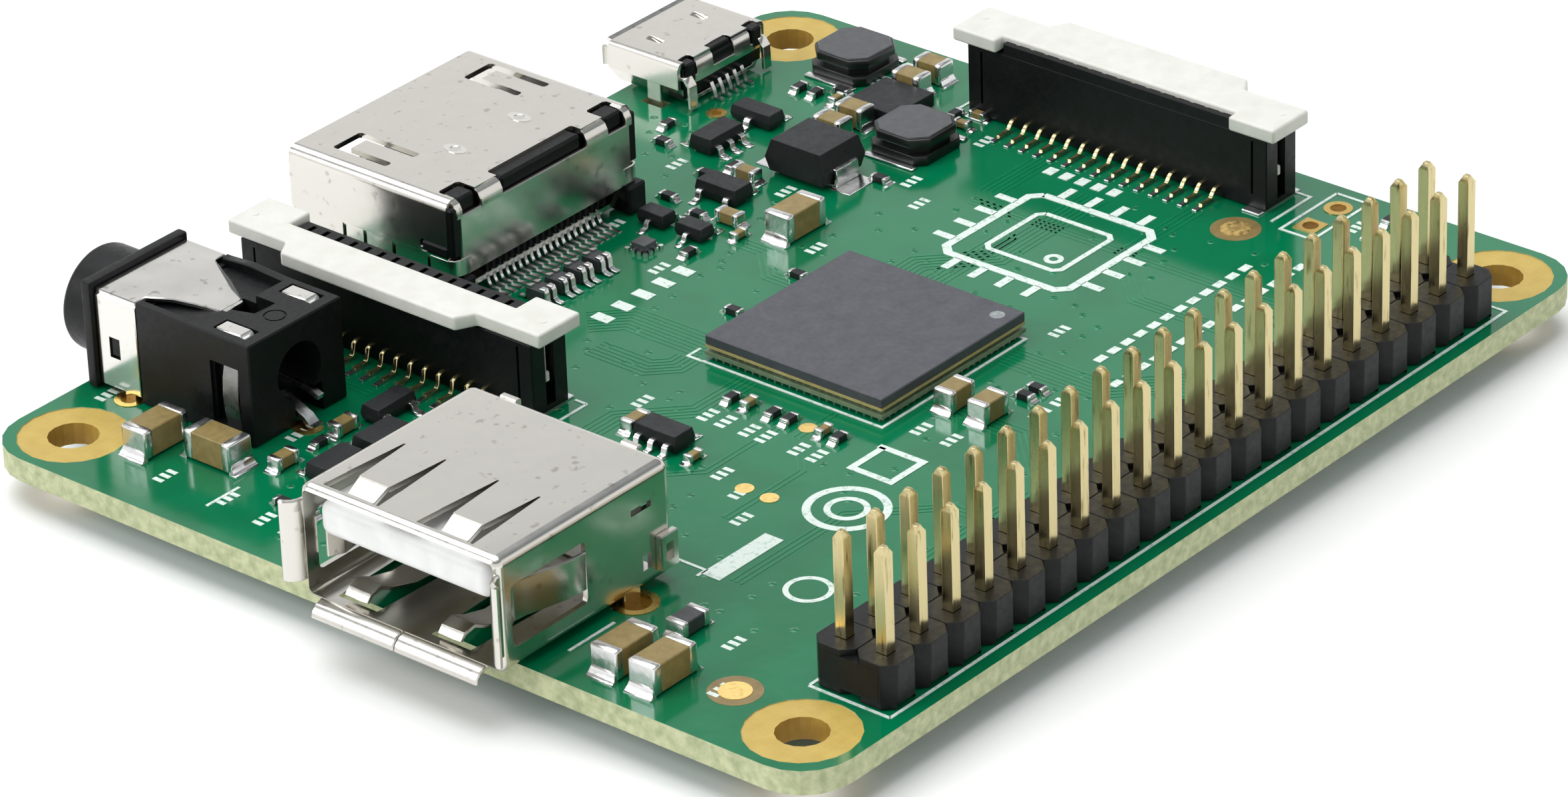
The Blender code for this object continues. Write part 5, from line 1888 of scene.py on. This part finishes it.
@dataclass
class SmallParts:
    """The soldered packages of the board: chips, capacitors, resistors, coils and lamps."""

    bench: Bench

    def place_all(self, pieces: Sequence[bpy.types.Object], places: Sequence[Seat]) -> bpy.types.Object:
        """Copy a package modelled at the origin to its places.

        Args:
            pieces: The package's pieces, with its long side along u.
            places: The centre and direction of each copy.

        Returns:
            The joined copies.
        """
        moves = []
        for u, v, along in places:
            spin = Matrix.Rotation(math.radians(along.value), 4, "Z")
            moves.append(Matrix.Translation((u, v, 0.0)) @ spin)
        return self.bench.repeat(self.bench.join(pieces), moves)

    def fillet(self, edge: float, half_width: float, height: float, reach: float) -> bpy.types.Object:
        """Model the solder fillet in front of an end cap, with a hollow slope and a thin pad.

        Args:
            edge: The u of the end cap's face.
            half_width: Half the fillet's width.
            height: How far it climbs the cap.
            reach: How far it runs out on the pad.

        Returns:
            The fillet.
        """
        slope = [(edge + reach, 0.0), (edge - 0.12, 0.0), (edge - 0.12, height), (edge + 0.02, height)]
        slope += [(edge + reach * t / 8, 0.05 + (height - 0.05) * (1.0 - t / 8) ** 2.4) for t in range(1, 9)]
        piece = self.bench.profile(slope, Axis.V, -half_width, half_width)
        for vertex in piece.data.vertices:
            lift = vertex.co.z / height
            vertex.co.y *= 1.0 - 0.18 * max(lift - 0.2, 0.0)
        return piece

    def chip_capacitors(
        self,
        name: str,
        size: Size,
        cap: float,
        places: Sequence[Seat],
        replaces: Sequence[str] = (),
        finish: Finish = CERAMIC,
        slot: str = "ceramic_chip",
    ) -> None:
        """Model chip capacitors: a ceramic body between tinned caps, on solder fillets.

        Args:
            name: The pieces' name.
            size: Length, width and height.
            cap: The length of each end cap.
            places: The centre and direction of each.
            replaces: The CAD nodes that they stand for.
            finish: The body's finish.
            slot: A material slot's name for the body; not used.
        """
        length, width, height = size
        half, across = length / 2, width / 2
        body = self.bench.block(
            (-half + 0.06, -across + 0.04, 0.1), (half - 0.06, across - 0.04, height - 0.04), 0.05
        )
        radius = min(0.16, height * 0.12)
        caps = [
            self.bench.block((side * half, -across, 0.05), (side * (half - cap), across, height), radius, 3)
            for side in (-1, 1)
        ]
        fillet = self.fillet(half, across * 0.98, height * 0.32, 0.15 * length ** 0.5 + 0.12)
        other = self.bench.twin(fillet, HALF_TURN)
        self.bench.settle(f"{name}_bodies", self.place_all([body], places), finish, slot, replaces=replaces)
        self.bench.settle(f"{name}_caps", self.place_all(caps, places), TIN, "contact_metal")
        joints = self.place_all([fillet, other], places)
        self.bench.settle(f"{name}_solder", joints, SOLDER, "contact_metal", smooth=SOLDER_SMOOTH)

    def chip_resistors(self, name: str, size: Size, places: Sequence[Seat]) -> None:
        """Model chip resistors, which are white ceramic chips: their black glaze and their wrapped ends on
        solder fillets.

        Args:
            name: The pieces' name.
            size: Length, width and height.
            places: The centre and direction of each.
        """
        length, width, height = size
        half, across = length / 2, width / 2
        glaze = self.bench.block(
            (-half * 0.62, -across * 0.96, 0.06), (half * 0.62, across * 0.96, height), 0.02
        )
        ends = []
        for side in (-1, 1):
            inner = (side * half * 0.6, across, height - 0.02)
            ends.append(self.bench.block((side * half, -across, 0.04), inner, 0.04, 2))
            fillet = self.fillet(half, across * 0.95, height * 0.7, 0.26)
            if side < 0:
                fillet.data.transform(HALF_TURN)
            ends.append(fillet)
        self.bench.settle(f"{name}_glaze", self.place_all([glaze], places), RESIN, "chip_resin")
        self.bench.settle(f"{name}_ends", self.place_all(ends, places), TIN, "contact_metal")

    def leaded(
        self,
        name: str,
        size: Size,
        near: Sequence[float],
        far: Sequence[float],
        places: Sequence[Seat],
        replaces: Sequence[str],
        lead_width: float = 0.36,
    ) -> None:
        """Model moulded chips with gull-wing leads along their long sides.

        Args:
            name: The pieces' name.
            size: Length, width and height of the body.
            near: The u of each lead on the side towards lower v.
            far: The u of each lead on the other side.
            places: The centre and direction of each.
            replaces: The CAD nodes that they stand for.
            lead_width: The width of each lead.
        """
        length, width, height = size
        half, across = length / 2, width / 2
        body = self.bench.block((-half, -across, 0.12), (half, across, height))
        split = 0.12 + (height - 0.12) * 0.45
        self.bench.take([body])
        bpy.ops.object.mode_set(mode="EDIT")
        bpy.ops.mesh.select_all(action="SELECT")
        bpy.ops.mesh.bisect(plane_co=(0, 0, split), plane_no=(0, 0, 1))
        bpy.ops.object.mode_set(mode="OBJECT")
        for vertex in body.data.vertices:
            if abs(vertex.co.z - split) > 0.05:
                vertex.co.x -= math.copysign(0.09, vertex.co.x)
                vertex.co.y -= math.copysign(0.09, vertex.co.y)
        self.bench.bevel(body, 0.03, 1, 20)
        leads, pads = [], []
        path = [
            (across - 0.1, split), (across + 0.16, split), (across + 0.27, split - 0.1), (across + 0.33, 0.16)
        ]
        path += [(across + 0.42, 0.1), (across + 0.68, 0.09)]
        for side, row in ((-1, near), (1, far)):
            for along in row:
                lead = self.bench.strip(
                    path, 0.13, Axis.U, along - lead_width / 2, along + lead_width / 2, 0.02
                )
                pad = self.bench.block(
                    (along - lead_width * 0.62, across + 0.3, SUNK),
                    (along + lead_width * 0.62, across + 0.95, 0.07),
                    0.03,
                )
                if side < 0:
                    for piece in (lead, pad):
                        piece.data.transform(Matrix.Scale(-1, 4, (0.0, 1.0, 0.0)))
                        piece.data.flip_normals()
                leads.append(lead)
                pads.append(pad)
        self.bench.settle(
            f"{name}_bodies", self.place_all([body], places), RESIN, "chip_resin", replaces=replaces
        )
        self.bench.settle(f"{name}_leads", self.place_all(leads, places), TIN, "contact_metal")
        self.bench.settle(
            f"{name}_pads", self.place_all(pads, places), SOLDER, "contact_metal", smooth=SOLDER_SMOOTH
        )

    def power_inductors(self) -> None:
        """Model the inductors: a square foot, a waisted body and a grey octagonal lid."""
        foot = self.bench.profile(octagon(2.0, 0.55), Axis.H, 0.08, 0.62, 0.05)
        waist = self.bench.profile(octagon(1.72, 0.8), Axis.H, 0.6, 1.2)
        brim = self.bench.profile(octagon(2.0, 0.85), Axis.H, 1.02, 1.56, 0.12, 2)
        places = [(10.0, 17.95, Along.U), (4.3, 9.0, Along.U)]
        names = ["power_inductor_1", "power_inductor_2"]
        body = self.place_all([foot, waist, brim], places)
        self.bench.settle("inductor_bodies", body, COIL_BLACK, "ferrite", replaces=names)
        lid = self.bench.profile(octagon(1.86, 0.8), Axis.H, 1.5, 1.64, 0.05)
        self.bench.settle("inductor_lids", self.place_all([lid], places), COIL_TOP, "ferrite")
        pads = [
            self.bench.block((2.0, -1.75, SUNK), (2.5, 1.75, 0.16), 0.06),
            self.bench.block((-2.5, -1.75, SUNK), (-2.0, 1.75, 0.16), 0.06),
        ]
        self.bench.settle(
            "inductor_pads", self.place_all(pads, places), SOLDER, "contact_metal", smooth=SOLDER_SMOOTH
        )

    def power_diode(self) -> None:
        """Model the large diode: a body drafted both ways from its seam, and wrapped tabs."""
        u, v = 15.6, 15.4
        section = [
            (-2.02, 0.25), (-2.26, 1.1), (-2.2, 1.2), (-1.86, 2.2), (1.86, 2.2), (2.2, 1.2), (2.26, 1.1),
            (2.02, 0.25),
        ]
        body = self.bench.profile([(v + x * 0.94, h) for x, h in section], Axis.U, u - 1.82, u + 1.82)
        for vertex in body.data.vertices:
            vertex.co.x = u + (vertex.co.x - u) * (1.0 - 0.09 * abs(vertex.co.z - 1.15))
        self.bench.bevel(body, 0.05, 2, 25)
        self.bench.settle("diode_body", body, RESIN, "chip_resin", replaces=["power_diode"])
        made, pads = [], []
        for side in (-1, 1):
            wall = v + side * 2.2
            tab = [
                (wall - side * 0.25, 1.08), (wall, 1.05), (wall + side * 0.06, 0.6), (wall, 0.16),
                (wall - side * 0.7, 0.1),
            ]
            made.append(self.bench.strip(tab, 0.2, Axis.U, u - 0.95, u + 0.95, 0.03))
            outer = (u + 1.15, wall + side * 1.15, 0.06)
            pads.append(self.bench.block((u - 1.15, wall - side * 0.3, SUNK), outer, 0.03))
        self.bench.settle("diode_tabs", made, TIN, "contact_metal")
        self.bench.settle("diode_pads", pads, SOLDER, "contact_metal", smooth=SOLDER_SMOOTH)

    def bare_packages(self) -> None:
        """Model the regulator, the tiny switch, the choke arrays and the lamps."""
        regulator = self.bench.block((-1.75, -1.75, 0.06), (1.75, 1.75, 0.9), 0.04)
        self.bench.settle(
            "power_regulator_body", self.place_all([regulator], [(7.2, 13.9, Along.U)]), RESIN, "chip_resin",
            replaces=["power_regulator"],
        )
        switch = self.bench.block((27.7, 13.3, 0.06), (28.7, 14.3, 0.55), 0.03)
        self.bench.settle("tiny_switch", switch, COIL_TOP, "chip_resin")
        balls = self.bench.rod((0.0, 0.0), 0.14, Axis.H, 0.0, 0.2, 10)
        steps = [
            (27.55 + 0.43 * a, 13.15 + 0.43 * b, 0.0)
            for a in range(4)
            for b in range(4)
            if a in (0, 3) or b in (0, 3)
        ]
        self.bench.settle(
            "tiny_switch_joints",
            self.bench.copies(balls, steps),
            SOLDER,
            "contact_metal",
            smooth=SOLDER_SMOOTH,
        )
        choke = self.bench.block((-0.62, -0.5, 0.05), (0.62, 0.5, 0.85), 0.05)
        places = [(u, 13.2, Along.V) for u in (31.4, 32.9, 34.4, 35.9)]
        names = [f"video_choke_{n}" for n in range(1, 5)]
        self.bench.settle(
            "video_choke_bodies", self.place_all([choke], places), FERRITE, "ferrite", replaces=names
        )
        made = []
        for side in (-1, 1):
            for across in (-0.28, 0.28):
                path = [
                    (side * 0.3, 0.92), (side * 0.6, 0.9), (side * 0.7, 0.7), (side * 0.72, 0.25),
                    (side * 0.95, 0.1),
                ]
                path.append((side * 1.3, 0.08))
                made.append(self.bench.strip(path, 0.12, Axis.V, across - 0.17, across + 0.17, 0.02))
        self.bench.settle("video_choke_leads", self.place_all(made, places), TIN, "contact_metal")
        places = [(2.0, 46.9, Along.V), (3.6, 46.9, Along.V)]
        lamp = self.bench.block((-0.45, -0.38, 0.1), (0.45, 0.38, 0.65), 0.1, 3)
        names = ["status_lamp_1", "status_lamp_2"]
        self.bench.settle(
            "status_lamp_lenses", self.place_all([lamp], places), LAMP, "lamp_resin", replaces=names
        )
        ends = [self.bench.block((side * 0.8, -0.4, 0.03), (side * 0.4, 0.4, 0.25), 0.04) for side in (-1, 1)]
        self.bench.settle("status_lamp_ends", self.place_all(ends, places), TIN, "contact_metal")

    def build(self) -> None:
        """Build every small part."""
        u, v = Along.U, Along.V
        self.power_inductors()
        self.power_diode()
        self.bare_packages()
        self.chip_capacitors(
            "large_capacitor",
            (3.25, 1.75, 1.72),
            0.62,
            [(21.7, 19.05, u), (59.75, 7.8, u), (58.95, 11.5, v), (61.9, 44.1, u), (61.9, 41.65, u)],
            [
                "input_capacitor",
                "sound_capacitor_1",
                "sound_capacitor_2",
                "port_capacitor_1",
                "port_capacitor_2",
            ],
        )
        self.chip_capacitors(
            "middle_capacitor",
            (2.0, 1.3, 1.32),
            0.48,
            [
                (31.9, 40.4, u), (31.9, 38.2, u), (2.75, 13.4, v), (4.7, 13.4, v), (9.75, 13.4, v),
                (11.65, 13.4, v),
            ],
            ["core_capacitor_1", "core_capacitor_2", *(f"power_capacitor_{n}" for n in range(1, 5))],
        )
        self.chip_capacitors(
            "port_bead", (2.0, 1.25, 0.92), 0.42, [(57.5, 41.9, u)], ["port_ferrite"], FERRITE, "ferrite"
        )
        self.chip_capacitors(
            "small_capacitor",
            (1.6, 0.85, 0.82),
            0.38,
            [(43.6, 26.5, u), (52.9, 14.6, u), (57.4, 14.6, u), (18.6, 13.0, v), (23.1, 15.6, v)],
        )
        self.chip_capacitors(
            "tiny_capacitor",
            (1.05, 0.55, 0.52),
            0.26,
            [
                (38.35, 34.75, u), (38.35, 29.75, u), (44.4, 31.1, u), (13.6, 13.0, v), (6.6, 18.6, v),
                (5.2, 18.6, v), (14.6, 12.0, u), (8.3, 10.9, u), (24.2, 17.1, u),
            ],
        )
        self.chip_resistors(
            "small_resistor",
            (1.05, 0.55, 0.4),
            [
                (38.4, 35.8, u), (38.4, 32.5, u), (38.4, 31.4, u), (38.4, 28.6, u), (28.2, 40.7, v),
                (29.2, 40.7, v), (31.0, 22.5, v), (25.8, 22.6, v), (7.2, 10.4, v), (8.3, 9.4, u),
                (8.3, 8.2, u), (5.8, 17.4, u), (14.4, 19.0, v), (18.0, 11.6, u), (19.6, 10.9, v),
                (22.9, 11.0, v), (23.6, 13.7, v), (27.3, 16.2, u), (60.4, 17.4, v), (60.4, 19.2, v),
                (59.2, 18.3, v), (54.7, 14.6, u), (2.0, 44.4, u), (3.7, 44.4, u), (5.2, 46.4, v),
                (16.2, 5.2, u), (18.0, 6.4, v), (48.9, 17.7, u), (50.6, 19.2, u),
            ],
        )
        three, two = (-0.95, 0.0, 0.95), (-0.95, 0.95)
        self.leaded(
            "six_lead_chip", (2.9, 1.6, 1.08), three, three,
            [(43.9, 28.7, v), (56.4, 17.3, u), (16.3, 8.9, u)],
            ["port_switch", "sound_buffer_2", "power_transistor_1"],
        )
        self.leaded(
            "five_lead_chip", (2.9, 1.6, 1.08), two, three,
            [(52.9, 17.3, u), (20.95, 13.35, v)], ["sound_buffer_1", "video_switch"],
        )
        self.leaded(
            "three_lead_chip", (2.9, 1.35, 1.0), (0.0,), two,
            [(50.1, 15.2, u), (12.8, 8.9, v)], ["sound_diode", "power_transistor_2"], 0.42,
        )
        self.leaded(
            "small_three_lead_chip", (1.9, 1.2, 0.9), (0.0,), (-0.65, 0.65),
            [(25.5, 15.1, v), (25.5, 12.4, v)], ["video_transistor_1", "video_transistor_2"], 0.3,
        )


def main() -> None:
    """Build every sub-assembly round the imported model."""
    logging.basicConfig(level=logging.INFO, format="%(name)s %(message)s")
    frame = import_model()
    bpy.ops.object.select_all(action="DESELECT")
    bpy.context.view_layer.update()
    low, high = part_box("circuit_board")
    bench = Bench(Vector((low.x, low.y, high.z)))
    studio = Studio()
    studio.build()
    board = Board(bench)
    nodes = frame["nodes"]
    board.dress_faces(nodes["circuit_board"])
    board.lay_traces()
    board.plate_holes()
    board.print_legend()
    header = PinHeader(bench)
    header.build_insulator()
    header.build_posts()
    ProcessorStack(bench).build()
    UsbPort(bench).build(nodes)
    VideoPort(bench).build()
    PowerPort(bench).build()
    SoundSocket(bench).build()
    RibbonConnector(bench, "camera", (44.85, 11.55), 1).build()
    RibbonConnector(bench, "display", (3.6, 28.0), -1, latch_inner=-0.98, lead_rise=0.6).build()
    CardSocket(bench).build(nodes)
    SmallParts(bench).build()


if __name__ == "__main__":
    main()
